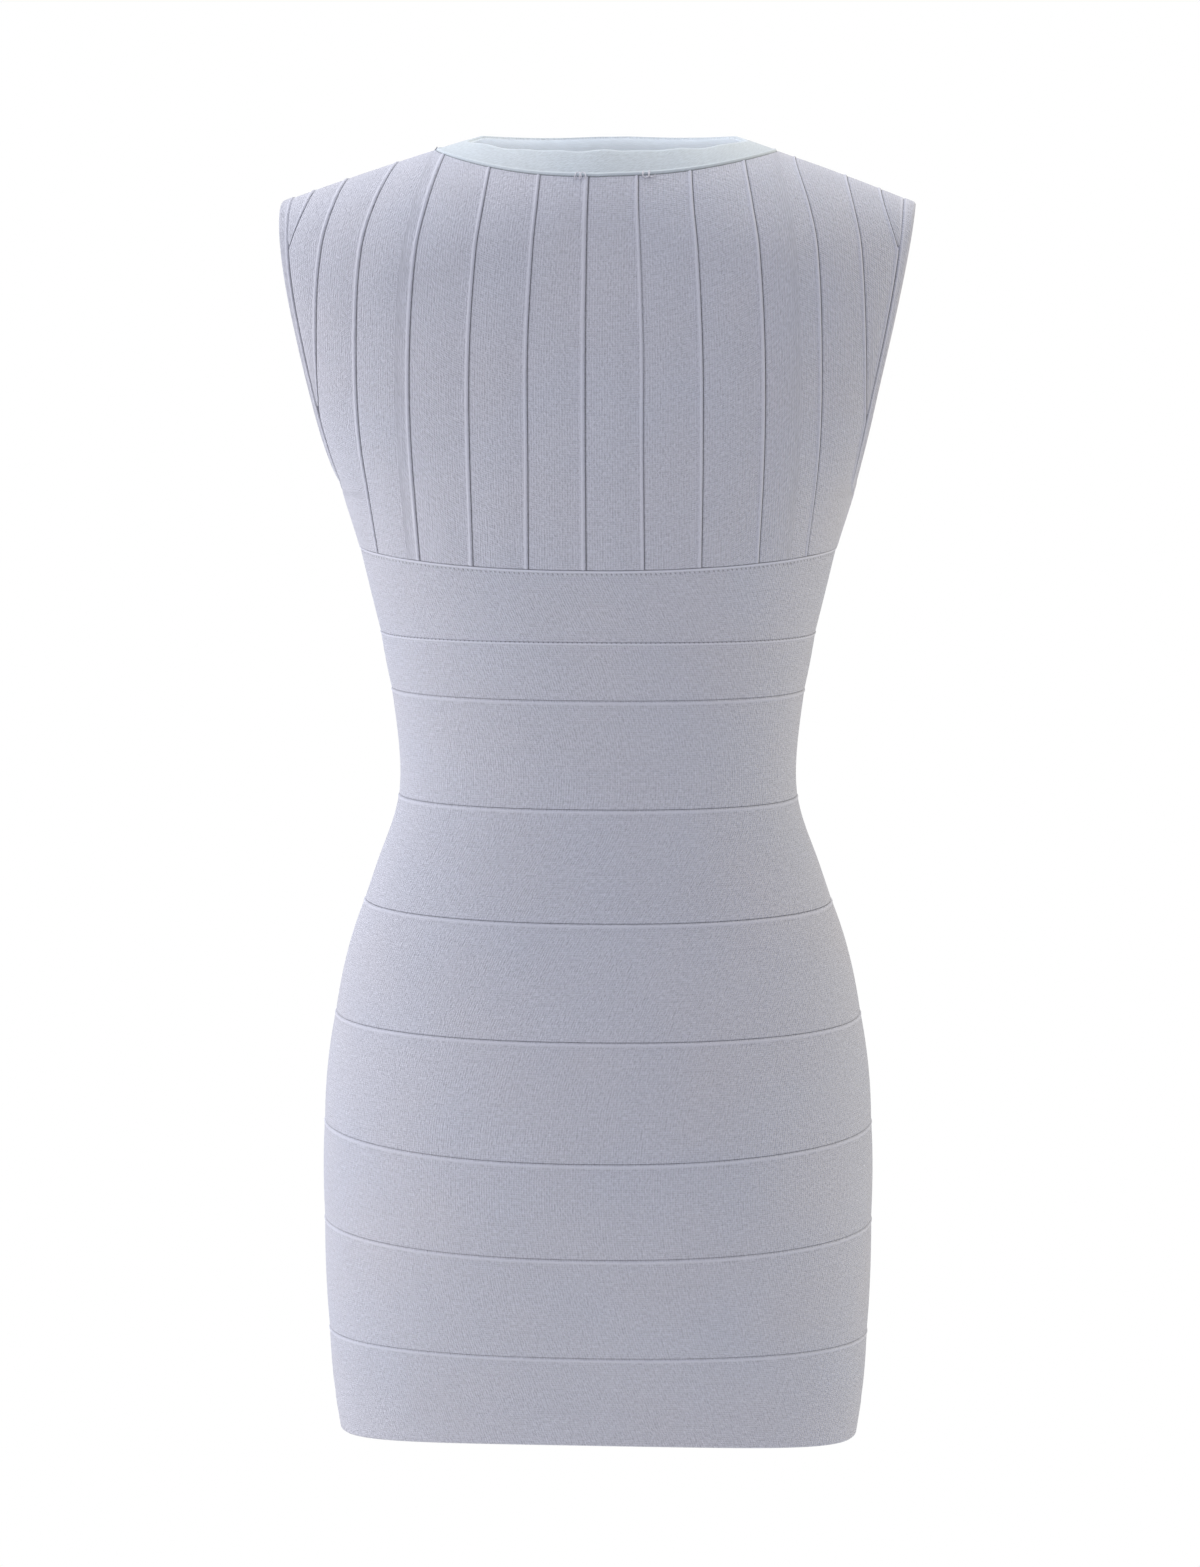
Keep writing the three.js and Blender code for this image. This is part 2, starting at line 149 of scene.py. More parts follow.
# %% Lamps
LAMPS = [
    # name, turn and tilt in degrees, distance and size in metres, watts, colour
    ("left", -95.0, 8.0, 2.6, 1.6, 29.4, (1.0, 0.98, 0.96)),
    ("left_front", -60.0, 14.0, 2.6, 1.6, 10.2, (1.0, 1.0, 0.97)),
    ("right", 105.0, 22.0, 2.8, 1.6, 24.0, (1.0, 0.89, 0.52)),
    ("top", -15.0, 80.0, 2.2, 1.4, 3.2, (1.0, 1.0, 0.96)),
    ("beyond", -160.0, 66.0, 2.2, 1.4, 23.0, (1.0, 1.0, 0.97)),
]


def add_lamp(name, kind, watts, color, place):
    """A lamp of a kind, at a place in metres."""
    lamp = bpy.data.objects.new(f"lamp_{name}", bpy.data.lights.new(f"lamp_{name}", kind))
    lamp.data.energy = watts
    lamp.data.color = color
    lamp.location = place
    bpy.context.scene.collection.objects.link(lamp)
    return lamp


for name, turn, tilt, distance, size, watts, color in LAMPS:
    turn, tilt = math.radians(turn), math.radians(tilt)
    lamp = add_lamp(name, "AREA", watts, color, AIM + distance * direction(turn, tilt))
    lamp.data.shape = "DISK"
    lamp.data.size = size
    lamp.rotation_euler = (math.pi / 2 - tilt, 0.0, turn)
print("lamps outside:", [row[0] for row in LAMPS])

# %% [markdown]
# The knit is thin and pale, so some light comes through it and the hollow inside isn't dark.
# Real light through two faces of cloth is slow to trace. Two small weak lamps in the hollow below
# the neck give the inside of the neckline the same soft glow, brightest near the shoulders, and
# no camera can see them.

# %% The glow inside the neck
INNER_LAMPS = [
    # name, place in metres, watts
    ("inner_left", (-0.040, -0.010, -0.070), 0.23),
    ("inner_right", (0.050, -0.010, -0.070), 0.175),
]
INNER_RADIUS = 0.02
INNER_COLOR = (1.0, 0.98, 0.92)

for name, place, watts in INNER_LAMPS:
    lamp = add_lamp(name, "POINT", watts, INNER_COLOR, place)
    lamp.data.shadow_soft_size = INNER_RADIUS
    lamp.visible_camera = False
print("lamps inside:", [row[0] for row in INNER_LAMPS])

# %% [markdown]
# ## The dress's sizes
# A pattern cutter would measure a stand at many heights. The table below does the same: half the
# width, and how deep the cloth is behind and before the side line. Between rows a smooth line
# runs through the numbers, so the form has no steps. All sizes of the dress are in millimetres.

# %% Tables of sizes
SECTIONS = np.array([
    # height, half width, depth of the back, depth of the front
    (12, 188.0, 75.0, 75.0),
    (-16, 188.0, 82.5, 82.0),
    (-31, 187.8, 86.0, 85.5),
    (-58, 184.3, 93.0, 91.0),
    (-100, 176.3, 101.5, 101.0),
    (-145, 166.4, 104.0, 108.0),
    (-175, 159.6, 102.5, 113.0),
    (-205, 151.7, 100.0, 115.0),
    (-240, 141.0, 96.5, 112.0),
    (-285, 130.3, 87.0, 101.0),
    (-325, 123.0, 79.5, 92.0),
    (-355, 119.0, 75.5, 88.5),
    (-378, 118.6, 75.0, 88.0),
    (-400, 122.4, 77.5, 90.0),
    (-430, 133.2, 86.0, 95.0),
    (-475, 148.6, 99.5, 101.0),
    (-520, 158.5, 112.0, 104.0),
    (-567, 164.2, 121.0, 104.0),
    (-620, 165.7, 122.0, 101.0),
    (-690, 164.4, 108.0, 96.0),
    (-740, 161.5, 92.0, 92.0),
    (-777, 157.0, 82.0, 89.0),
])
UPRIGHT_SEAMS = np.array([
    # height, then each upright seam's distance from the centre one
    (0, 28.0, 57.5, 87.0, 114.0, 141.0, 160.0),
    (-31, 29.2, 60.8, 94.4, 126.3, 151.5, 169.0),
    (-58, 31.1, 64.1, 99.3, 132.5, 157.4, 178.0),
    (-115, 33.4, 67.3, 102.8, 135.2, 160.4, 190.0),
    (-173, 33.4, 67.6, 102.6, 134.0, 160.4, 190.0),
    (-240, 33.7, 66.5, 99.0, 126.0, 160.4, 190.0),
])
LEVEL_SEAMS = [
    # height at the sides, and at the centre back
    (-236.0, -242.0),
    (-287.0, -285.0),
    (-321.0, -320.0),
    (-385.5, -385.0),
    (-449.0, -450.0),
    (-517.0, -517.0),
    (-583.0, -587.0),
    (-643.0, -645.0),
    (-712.0, -708.0),
    (-777.0, -766.0),
]
WALL = 2.0  # thickness of the knit
SEAM_GAP = 0.12  # the solids are 0.3 apart, but sewn cloth lets less of the dark through
STRETCH = 1.04  # how much wider the knit is when worn than when it was cut
SQUARENESS = 2.2  # of the sections: 2 is an ellipse, and more is squarer
SHOULDER = {"top": 26.6, "slope": 0.251, "bend": 0.00036, "ease": 15.0, "round": 70.0}
SHOULDER_HALF = 188.0
OFF_CENTRE = 5.9  # how far the highest place of the shoulders is from the middle, near the neck
ARMHOLE = {"centre": -118.0, "half": 52.0, "bottom": -198.0, "deeper": 3.8, "lower": 6.5}
NECK = {"shift": 5.0, "power": 1.55, "seam_half": 101.0, "rim_half": 82.0}
NECK_DROPS = {"back": (39.0, 24.0), "front": (34.5, 18.0)}  # at the seam, and at the rim
RIM_FALL_HALF = {"back": 82.0, "front": 74.0}  # the rim follows the shoulder line further out
FACING = {"back": -1.0, "front": 1.0}
STRIPS_PER_SIDE = 7  # left of the centre line, and again right of it
print("sections:", len(SECTIONS), "level bands:", len(LEVEL_SEAMS) - 1)


# %% [markdown]
# ## From sizes to a surface
# Every point of the dress is named by two numbers: an angle, which is 0 on the centre line and a
# quarter turn at the side, and a height. The functions below turn them into a place. They take
# whole arrays, so one call works out thousands of points with no loop over them.

# %% A smooth line through a table
def line_through(table, column):
    """Cubic through the rows: at each row it has the slope of the line between the rows around it."""
    z = table[::-1, 0]
    value = table[::-1, column]
    low = np.maximum(np.arange(len(z)) - 1, 0)
    high = np.minimum(np.arange(len(z)) + 1, len(z) - 1)
    slope = (value[high] - value[low]) / (z[high] - z[low])

    def line(height):
        h = np.clip(height, z[0], z[-1])
        i = np.clip(np.searchsorted(z, h) - 1, 0, len(z) - 2)
        span = z[i + 1] - z[i]
        s = (h - z[i]) / span
        rise = value[i + 1] - value[i]
        start = slope[i] * span - rise
        end = rise - slope[i + 1] * span
        return value[i] + s * rise + s * (1 - s) * ((1 - s) * start + s * end)

    return line


half_width = line_through(SECTIONS, 1)
depth_of = {"back": line_through(SECTIONS, 2), "front": line_through(SECTIONS, 3)}
upright_seams = [line_through(UPRIGHT_SEAMS, k) for k in range(1, STRIPS_PER_SIDE)]
print("half the waist's width:", round(float(half_width(-370.0)), 1))


# %% [markdown]
# Across the body a section is an oval, a little squarer than an ellipse. Under the ridge of the
# shoulders its depth is rounded off, and its sides stop at the armholes. An oval tube could be
# pulled into this form by hand, but then the seams could not be laid on it by their sizes.

# %% Shoulder, armhole and section
def shoulder_top(x):
    """Height of the shoulder's ridge: top - slope * eased |c| - bend * c * c.

    c is the distance from the ridge's highest place, which is a little off the middle.
    """
    c = x - OFF_CENTRE * (1.0 - (x / SHOULDER_HALF) ** 2)
    return SHOULDER["top"] - SHOULDER["slope"] * np.hypot(c, SHOULDER["ease"]) - SHOULDER["bend"] * c * c


def rounded_off(below):
    """Share of the full depth at a distance below the ridge: a quarter circle, then 1."""
    left = 1.0 - np.clip(below / SHOULDER["round"], 0.0, 1.0)
    return np.sqrt(1.0 - left * left)


def armhole_depth(z, grow=0.0, deeper=0.0, lower=0.0):
    """Half the opening at a height: full above the centre, the lower half of an oval below it."""
    reach = ARMHOLE["centre"] - ARMHOLE["bottom"] + lower + grow
    below = np.clip((ARMHOLE["centre"] - z) / reach, 0.0, 1.0)
    return (ARMHOLE["half"] + deeper + grow) * np.sqrt(1.0 - below * below)


def section_spread(side, z):
    """Where the section would close if no armhole cut it, as a share of the real half width."""
    cut = (armhole_depth(z) * (z > ARMHOLE["bottom"]) / depth_of[side](z)) ** SQUARENESS
    return (1.0 - cut) ** (-1.0 / SQUARENESS)


def angle_of(side, x, z):
    """Angle whose sine, to the power 2 / squareness, is x over the section's half width."""
    reach = np.clip(np.abs(x) / (half_width(z) * section_spread(side, z)), 0.0, 1.0)
    return np.sign(x) * np.arcsin(reach ** (SQUARENESS / 2.0))


def width_at(side, angle, z):
    """Distance from the centre line: the inverse of angle_of."""
    reach = np.abs(np.sin(angle)) ** (2.0 / SQUARENESS)
    return np.sign(angle) * half_width(z) * section_spread(side, z) * reach


def skin_at(side, angle, z, below=None):
    """Point of the outside: x by the sine, depth by the cosine, rounded off under the shoulder."""
    x = width_at(side, angle, z)
    depth = depth_of[side](z) * np.abs(np.cos(angle)) ** (2.0 / SQUARENESS)
    drop = shoulder_top(x) - z if below is None else below
    return np.stack([x, FACING[side] * depth * rounded_off(drop), z + 0.0 * x], axis=-1)


print("shoulder's ridge beside the neck, mm:", round(float(shoulder_top(SHOULDER_HALF / 2.0)), 1))

# %% [markdown]
# The seams are lines on that surface. An upright seam is a distance from the centre line that
# changes with height, a level seam is a height that changes a little with the angle, and the
# neckline falls away from the shoulder's ridge. Where a seam crosses a row is found by repeated
# halving steps, on the whole array at once.

# %% Seams as lines on the surface
GAP = SEAM_GAP / 2.0
SOLVE_TURNS = 50
FIRST_GUESS = -100.0  # height from which the halving starts


def level_seam(seam, side, angle):
    """Height of a level seam: the sides' height, moved to the centre back's by cosine squared."""
    sides, centre_back = seam
    share = np.cos(angle) ** 2 if side == "back" else 0.0 * angle
    return sides + (centre_back - sides) * share


def outer_seam(side, z, grow):
    """Distance of the armhole seam, or below it the side seam, from the centre line."""
    lower = ARMHOLE["lower"]
    opening = armhole_depth(z, grow, ARMHOLE["deeper"], lower)
    opening = opening * (z > ARMHOLE["bottom"] - lower - grow)
    share = (opening / depth_of[side](z)) ** SQUARENESS
    return half_width(z) * section_spread(side, z) * (1.0 - share) ** (1.0 / SQUARENESS)


def neck_drop(x, drop, half):
    """Fall of the neckline below the ridge: drop times 1 less |x / half| to a power."""
    share = np.abs((x - NECK["shift"]) / half) ** NECK["power"]
    return drop * np.clip(1.0 - share, 0.0, None)


def bodice_height(side, x, row, angle):
    """Height of a row of the bodice at x: row 0 is its top edge, and row 1 the first level seam."""
    drop = neck_drop(x, NECK_DROPS[side][0] + GAP, NECK["seam_half"] + GAP)
    top = shoulder_top(x) - drop
    bottom = level_seam(LEVEL_SEAMS[0], side, angle) + GAP
    return top + (bottom - top) * row


def seam_distance(side, count, inset):
    """Function of height for seam number count, negative to the left; the last is the armhole."""
    towards = float(np.sign(count))
    if count == 0:
        return lambda z: inset * GAP + 0.0 * z
    if abs(count) == STRIPS_PER_SIDE:
        return lambda z: towards * outer_seam(side, z, GAP)
    line = upright_seams[abs(count) - 1]
    return lambda z: towards * np.minimum(line(z) + towards * inset * GAP, outer_seam(side, z, GAP))


def seam_place(side, row, distance):
    """Angle and height where a seam crosses each row, found by halving the step to it."""
    z = np.full_like(row, FIRST_GUESS)
    for _ in range(SOLVE_TURNS):
        x = distance(z)
        z = (z + bodice_height(side, x, row, angle_of(side, x, z))) / 2.0
    x = distance(z)
    return angle_of(side, x, z), z, x


side_seam = outer_seam("back", LEVEL_SEAMS[0][0], GAP)
print("foot of the side seam, mm from the middle:", round(float(side_seam), 1))

# %% [markdown]
# ## Cloth as a shell
# Real bandage tape is about two millimetres thick and has two faces. A plane with a Solidify
# modifier would give it thickness, but its edges would be square. Here both faces are built as
# grids and joined at the rim, so each edge can be rolled: the outer face is lifted or tucked in
# by its own amount at every point, and the inner face stays plain. Less light reaches the inside
# below a neckline than its rim, so the inner face there is stored as a little darker.

# %% Normals and faces of a grid
def grid_normals(points, closed):
    """Outward direction: the cross product of the differences along the grid's two ways."""
    if closed:
        padded = np.concatenate([points[:, -1:], points, points[:, :1]], axis=1)
        across = np.gradient(padded, axis=1)[:, 1:-1]
    else:
        across = np.gradient(points, axis=1)
    along = np.gradient(points, axis=0)
    normal = np.cross(along, across)
    return normal / np.linalg.norm(normal, axis=2, keepdims=True)


def cell_faces(rows, columns, closed):
    """Corner numbers of the four-sided faces of a grid whose rows may close on themselves."""
    j, i = np.meshgrid(np.arange(rows - 1), np.arange(columns if closed else columns - 1), indexing="ij")
    a = j * columns + i
    b = j * columns + (i + 1) % columns
    return np.stack([a, a + columns, b + columns, b], axis=-1).reshape(-1, 4)


def rim_faces(rows, columns, closed, half):
    """Faces that join the outer grid's border to the inner grid's, which starts at number half."""
    top = np.arange(columns)
    bottom = (rows - 1) * columns + top
    if closed:
        edges = [(top, np.roll(top, -1)), (np.roll(bottom, -1), bottom)]
    else:
        left = np.arange(rows) * columns
        right = left + columns - 1
        edges = [(top[:-1], top[1:]), (bottom[1:], bottom[:-1])]
        edges += [(left[1:], left[:-1]), (right[:-1], right[1:])]
    first, second = (np.concatenate(ends) for ends in zip(*edges))
    return np.stack([first, second, second + half, first + half], axis=1)


print("faces of a grid of 3 by 4 points:", len(cell_faces(3, 4, False)))

# %% [markdown]
# Cloth is measured along its surface, as a tape measure does it. The running lengths give each
# piece the distance to its seams, its own map in millimetres, and the size that it was cut to.

# %% Lengths along the cloth
INSIDE_SHADE = {"most": 1.35, "reach": 14.0, "fade": 60.0}
LONGEST_CELL = 30.0  # a cell of a ring that seems longer is the one that closes it


def arc_lengths(points, axis):
    """Running length of the grid's lines along an axis, in millimetres."""
    step = np.linalg.norm(np.diff(points, axis=axis), axis=2)
    start = np.zeros_like(step[:1] if axis == 0 else step[:, :1])
    return np.concatenate([start, np.cumsum(step, axis=axis)], axis=axis)


def cut_size(points, closed):
    """Greatest width and length, and area, of a grid laid flat, in metres, less the knit's stretch."""
    ring = np.concatenate([points, points[:, :1]], axis=1) if closed else points
    widths = arc_lengths(ring, 1)[:, -1]
    lengths = arc_lengths(points, 0)[-1]
    steps = np.linalg.norm(np.diff(ring, axis=1), axis=2)
    rises = np.linalg.norm(np.diff(ring, axis=0), axis=2)
    area = ((steps[1:] + steps[:-1]) / 2.0 * (rises[:, 1:] + rises[:, :-1]) / 2.0).sum()
    return widths.max() * MM / STRETCH, lengths.max() * MM, area * MM * MM / STRETCH


def inside_shade(depth):
    """How dark the inner face is: it grows as 1 - exp(-depth / reach), and a wide bell ends it."""
    grown = 1.0 - np.exp(-depth / INSIDE_SHADE["reach"])
    return INSIDE_SHADE["most"] * grown * np.exp(-((depth / INSIDE_SHADE["fade"]) ** 2))


def cloth_map(uv, faces, columns, closed):
    """Millimetres of cloth at each corner of each face.

    In the column that closes a ring, the length at its far side is the last one times
    columns / (columns - 1), so that the knit isn't squeezed there.
    """
    both = np.stack([np.tile(grid.ravel(), 2) for grid in uv], axis=1)
    corners = both[faces]
    if closed:
        ends = corners[..., 0].max(axis=1, keepdims=True)
        back_at_start = ends - corners[..., 0] > LONGEST_CELL
        corners[..., 0] = np.where(back_at_start, ends * columns / (columns - 1), corners[..., 0])
    return corners


print("shade of the inside 30 mm below the rim:", round(float(inside_shade(30.0)), 2))

# %% [markdown]
# The two faces and the rim that joins them go into one mesh. What a material has to know of each point, such
# as how much painted shade its groove gets, is kept with the mesh as attributes, so that one material can
# draw every seam.

# %% A helper that turns a grid into a closed shell
cuts = {}


def add_piece(name, mesh, material):
    """Smooth object of one material for a mesh, fixed to the part's only body."""
    mesh.shade_smooth()
    mesh.materials.append(material)
    piece = bpy.data.objects.new(name, mesh)
    bpy.context.scene.collection.objects.link(piece)
    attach(piece, "root")
    return piece


def cloth_shell(name, points, lift, closed, facts, uv, material, shade=None):
    """Closed shell: the outer grid is points plus lift along the normal, the inner is a wall below.

    points is a grid of places in millimetres, lift is a grid of heights, facts holds grids of numbers kept
    as attributes, uv is a pair of grids in millimetres of cloth, and shade is a grid of how dark the inner
    face is, painted shade that goes into its groove shade attribute.
    """
    rows, columns = points.shape[:2]
    outer = points + grid_normals(points, closed) * lift[..., None]
    inner = points - grid_normals(points, closed) * WALL
    half = rows * columns
    grid = cell_faces(rows, columns, closed)
    faces = np.concatenate([grid, grid[:, ::-1] + half, rim_faces(rows, columns, closed, half)])
    vertices = np.concatenate([outer.reshape(-1, 3), inner.reshape(-1, 3)]) * MM
    mesh = bpy.data.meshes.new(name)
    mesh.vertices.add(len(vertices))
    mesh.vertices.foreach_set("co", vertices.ravel())
    mesh.loops.add(faces.size)
    mesh.loops.foreach_set("vertex_index", faces.ravel().astype(np.int32))
    mesh.polygons.add(len(faces))
    mesh.polygons.foreach_set("loop_start", np.arange(0, faces.size, 4, dtype=np.int32))
    mesh.update(calc_edges=True)
    mesh.validate()
    for key, values in facts.items():
        attribute = mesh.attributes.new(key, "FLOAT", "POINT")
        # only the groove shade attribute holds the inner face's painted shade
        shaded = key == "groove_shade" and shade is not None
        both = np.concatenate([values.ravel(), shade.ravel() if shaded else np.zeros(half)])
        attribute.data.foreach_set("value", both.astype(np.float32))
    layer = mesh.uv_layers.new(name="cloth_mm")
    layer.data.foreach_set("uv", cloth_map(uv, faces, columns, closed).ravel().astype(np.float32))
    cuts[name] = cut_size(points, closed)
    return add_piece(name, mesh, material)


print("thickness of the cloth, mm:", WALL)

# %% [markdown]
# ## Knit materials
# The dress is one very fine stretch knit, and the neck tape a smoother one. Three effects are shared by
# both, so each is a node group that is made once: the knit's ribs, small stitches in a row beside each seam,
# and faint mottling with painted light and shade. The groups put out a height or a colour, and the
# Principled shader stays in the material.

# %% Helpers for node groups
NUMBER = "NodeSocketFloat"
VECTOR = "NodeSocketVector"
COLOR = "NodeSocketColor"


def new_group(name, inputs, output, kind):
    """Empty shader node group, with the sockets of its named inputs and of its output."""
    group = bpy.data.node_groups.new(name, "ShaderNodeTree")
    for label, socket_kind, value in inputs:
        socket = group.interface.new_socket(label, in_out="INPUT", socket_type=socket_kind)
        if value is not None:
            socket.default_value = value
    group.interface.new_socket(output, in_out="OUTPUT", socket_type=kind)
    return group, group.nodes.new("NodeGroupInput").outputs, group.nodes.new("NodeGroupOutput").inputs


def placed(tree, kind, inputs, **settings):
    """New node with its settings, and its inputs linked to sockets or set to plain values."""
    node = tree.nodes.new(kind)
    for key, value in settings.items():
        setattr(node, key, value)
    for key, value in inputs.items():
        if isinstance(value, bpy.types.NodeSocket):
            tree.links.new(value, node.inputs[key])
        else:
            node.inputs[key].default_value = value
    return node


def math_node(tree, operation, *values):
    """Math node fed by sockets or plain numbers; returns its output."""
    return placed(tree, "ShaderNodeMath", dict(enumerate(values)), operation=operation).outputs[0]


def vector_node(tree, operation, first, second):
    """Vector math node on a vector and either a vector or, to scale it, a number."""
    key = "Scale" if operation == "SCALE" else 1
    inputs = {0: first, key: second}
    return placed(tree, "ShaderNodeVectorMath", inputs, operation=operation).outputs[0]


def noise_node(tree, vector, scale, detail):
    """Noise texture on a vector; returns its value output, which is about 0.5 on average."""
    inputs = {"Vector": vector, "Scale": scale, "Detail": detail}
    return placed(tree, "ShaderNodeTexNoise", inputs).outputs["Fac"]


print("kinds of socket:", NUMBER, VECTOR, COLOR)

# %% [markdown]
# Held close, a fine knit shows upright ribs, called wales, crossed by rows, called courses, and a
# fuzz of tiny specks. Photographs of real knit would repeat. Two sine waves and a noise on the
# piece's own map don't, and the drift of their phase keeps them from looking like a grid.

# %% The ribs of the knit
WANDER_SCALE = 0.06  # patches to a millimetre in which wales or courses are stronger
DRIFT_SCALE = 0.12
DRIFT = 3.0  # radians by which the ribs' phase wanders
GRAIN_SCALE = 0.75  # specks to a millimetre
GRAIN_SHAPE = (1.0, 0.65, 1.0)  # specks are taller than they are wide
GRAIN_GAIN = 8.0


def make_knit_ribs():
    """Height = wale ribs across + course ribs along + grain; the ribs' strength and phase wander."""
    inputs = [
        ("Cloth mm", VECTOR, None),
        ("Wale Pitch", NUMBER, 1.5),
        ("Course Pitch", NUMBER, 1.3),
        ("Wales", NUMBER, 0.5),
        ("Courses", NUMBER, 0.5),
        ("Grain", NUMBER, 0.5),
    ]
    group, given, out = new_group("knit_ribs", inputs, "Height", NUMBER)
    place = given["Cloth mm"]
    split = placed(group, "ShaderNodeSeparateXYZ", {0: place}).outputs
    drift = math_node(group, "MULTIPLY", noise_node(group, place, DRIFT_SCALE, 1.0), DRIFT)
    ribs = []
    for axis, pitch, strength in ((0, "Wale Pitch", "Wales"), (1, "Course Pitch", "Courses")):
        turn = math_node(group, "DIVIDE", 2.0 * math.pi, given[pitch])
        wave = math_node(group, "SINE", math_node(group, "MULTIPLY_ADD", split[axis], turn, drift))
        ribs.append(math_node(group, "MULTIPLY", wave, given[strength]))
    more = math_node(group, "MULTIPLY", noise_node(group, place, WANDER_SCALE, 2.0), 2.0)
    less = math_node(group, "SUBTRACT", 2.0, more)
    wales = math_node(group, "MULTIPLY", ribs[0], more)
    total = math_node(group, "MULTIPLY_ADD", ribs[1], less, wales)
    specks = noise_node(group, vector_node(group, "MULTIPLY", place, GRAIN_SHAPE), GRAIN_SCALE, 1.0)
    grain = math_node(group, "SUBTRACT", specks, 0.5)
    gain = math_node(group, "MULTIPLY", given["Grain"], GRAIN_GAIN)
    group.links.new(math_node(group, "MULTIPLY_ADD", grain, gain, total), out["Height"])
    return group


knit_ribs = make_knit_ribs()
print("nodes in the ribs:", len(knit_ribs.nodes))

# %% [markdown]
# A seam of a knit is sewn down beside its edge, and the thread shows as a row of short bars, or of needle
# holes where it is pulled tight. Modelling hundreds of them would be heavy, so a wave along the seam, kept
# to a narrow row by the mesh's own attribute, stands for them: a bump for the bars, and painted shade for
# the holes.

# %% The row of stitches beside a seam
BAR_SOFTNESS = 0.2


def make_seam_stitches():
    """Row mask times the upper half of a sine along the seam, with its corner rounded."""
    inputs = [("Along mm", NUMBER, 0.0), ("Row", NUMBER, 0.0), ("Pitch", NUMBER, 1.6)]
    group, given, out = new_group("seam_stitches", inputs, "Height", NUMBER)
    turn = math_node(group, "DIVIDE", 2.0 * math.pi, given["Pitch"])
    wave = math_node(group, "SINE", math_node(group, "MULTIPLY", given["Along mm"], turn))
    bar = math_node(group, "SMOOTH_MAX", wave, 0.0, BAR_SOFTNESS)
    group.links.new(math_node(group, "MULTIPLY", bar, given["Row"]), out["Height"])
    return group


seam_stitches = make_seam_stitches()
print("nodes in the stitches:", len(seam_stitches.nodes))

# %% [markdown]
# Dyed knit is never one flat colour: it has soft patches. Light and shade are painted into the colour as
# well: the ribs catch light, a turned edge gets a painted highlight, and a groove and the needle holes get
# painted shade. The group mixes all that into the colour itself, because a bump alone is too weak in soft
# light.

# %% Faint mottling, and painted light and shade, in the colour
LIP_HIGHLIGHT = 0.13  # painted highlight: the turned edge has no ribs and is a little lighter
# how dark the painted shade of the grooves, the needle holes and the inside below the neck is
GROOVE_SHADE = 0.45
PATCH_SCALE = 22.0  # soft patches to a metre
WARMTH_SCALE = 16.0


def make_mottle_and_shading():
    """Colour times 1 + patches + painted rib shading + painted lip highlight, less the painted groove shade,
    with red and blue traded a little.
    """
    inputs = [
        ("Color", COLOR, (0.5, 0.5, 0.5, 1.0)),
        ("Place", VECTOR, None),
        ("Amount", NUMBER, 0.05),
        ("Warmth", NUMBER, 0.05),
        ("Relief", NUMBER, 0.0),
        ("Relief Shading", NUMBER, 0.05),
        ("Lip Highlight", NUMBER, 0.0),
        ("Groove Shade", NUMBER, 0.0),
    ]
    group, given, out = new_group("mottle_and_shading", inputs, "Color", COLOR)
    broad = math_node(group, "SUBTRACT", noise_node(group, given["Place"], PATCH_SCALE, 3.0), 0.5)
    bright = math_node(group, "MULTIPLY_ADD", broad, given["Amount"], 1.0)
    # painted light and shade: the ribs' relief, a highlight on the lip, and shade in the groove
    relief = math_node(group, "MULTIPLY_ADD", given["Relief"], given["Relief Shading"], bright)
    edged = math_node(group, "MULTIPLY_ADD", given["Lip Highlight"], LIP_HIGHLIGHT, relief)
    painted_shade = math_node(group, "MULTIPLY_ADD", given["Groove Shade"], -GROOVE_SHADE, 1.0)
    factor = math_node(group, "MULTIPLY", edged, painted_shade)
    warm = math_node(group, "SUBTRACT", noise_node(group, given["Place"], WARMTH_SCALE, 2.0), 0.5)
    traded = math_node(group, "MULTIPLY", warm, given["Warmth"])
    red = math_node(group, "ADD", 1.0, traded)
    blue = math_node(group, "SUBTRACT", 1.0, traded)
    trade = placed(group, "ShaderNodeCombineXYZ", {0: red, 1: 1.0, 2: blue}).outputs[0]
    scaled = vector_node(group, "SCALE", trade, factor)
    group.links.new(vector_node(group, "MULTIPLY", given["Color"], scaled), out["Color"])
    return group


mottle_and_shading = make_mottle_and_shading()
print("nodes in the mottling:", len(mottle_and_shading.nodes))

# %% [markdown]
# A knit material reads the piece's own map, which counts millimetres of cloth, so the ribs keep their real
# size however the cloth bends. Attributes that are stored with the mesh say where the stitches, the needle
# holes, the lip and the groove of a seam are, and so where the painted highlight and the painted shade go.

# %% The two cloths
CLOTHS = {
    "knit": {
        "color": (0.53, 0.545, 0.645),
        "wales": 0.45,
        "courses": 0.4,
        "grain": 0.6,
        "bump": 0.5,
        # how strongly the relief is painted into the colour, as light on the ribs and shade between them
        "relief": 0.108,
        "roughness": 0.86,
        "sheen": 0.12,
    },
    "neck_trim": {
        "color": (0.54, 0.60, 0.67),
        "wales": 0.3,
        "courses": 0.15,
        "grain": 0.42,
        "bump": 0.3,
        # how strongly the relief is painted into the colour, as light on the ribs and shade between them
        "relief": 0.12,
        "roughness": 0.72,
        "sheen": 0.10,
    },
    "thread": {
        "color": (0.62, 0.62, 0.70),
        "wales": 0.0,
        "courses": 0.0,
        "grain": 0.0,
        "bump": 0.0,
        "relief": 0.0,
        "roughness": 0.6,
        "sheen": 0.10,
    },
}
WALE_PITCH = 1.5
COURSE_PITCH = 1.3
STITCH_PITCH = 1.35
STITCH_HEIGHT = 0.9
HOLE_PITCH = 2.85
BUMP_DISTANCE = 0.0004
SHEEN_ROUGHNESS = 0.5
PATCHES = 0.055
WARMTH = 0.05


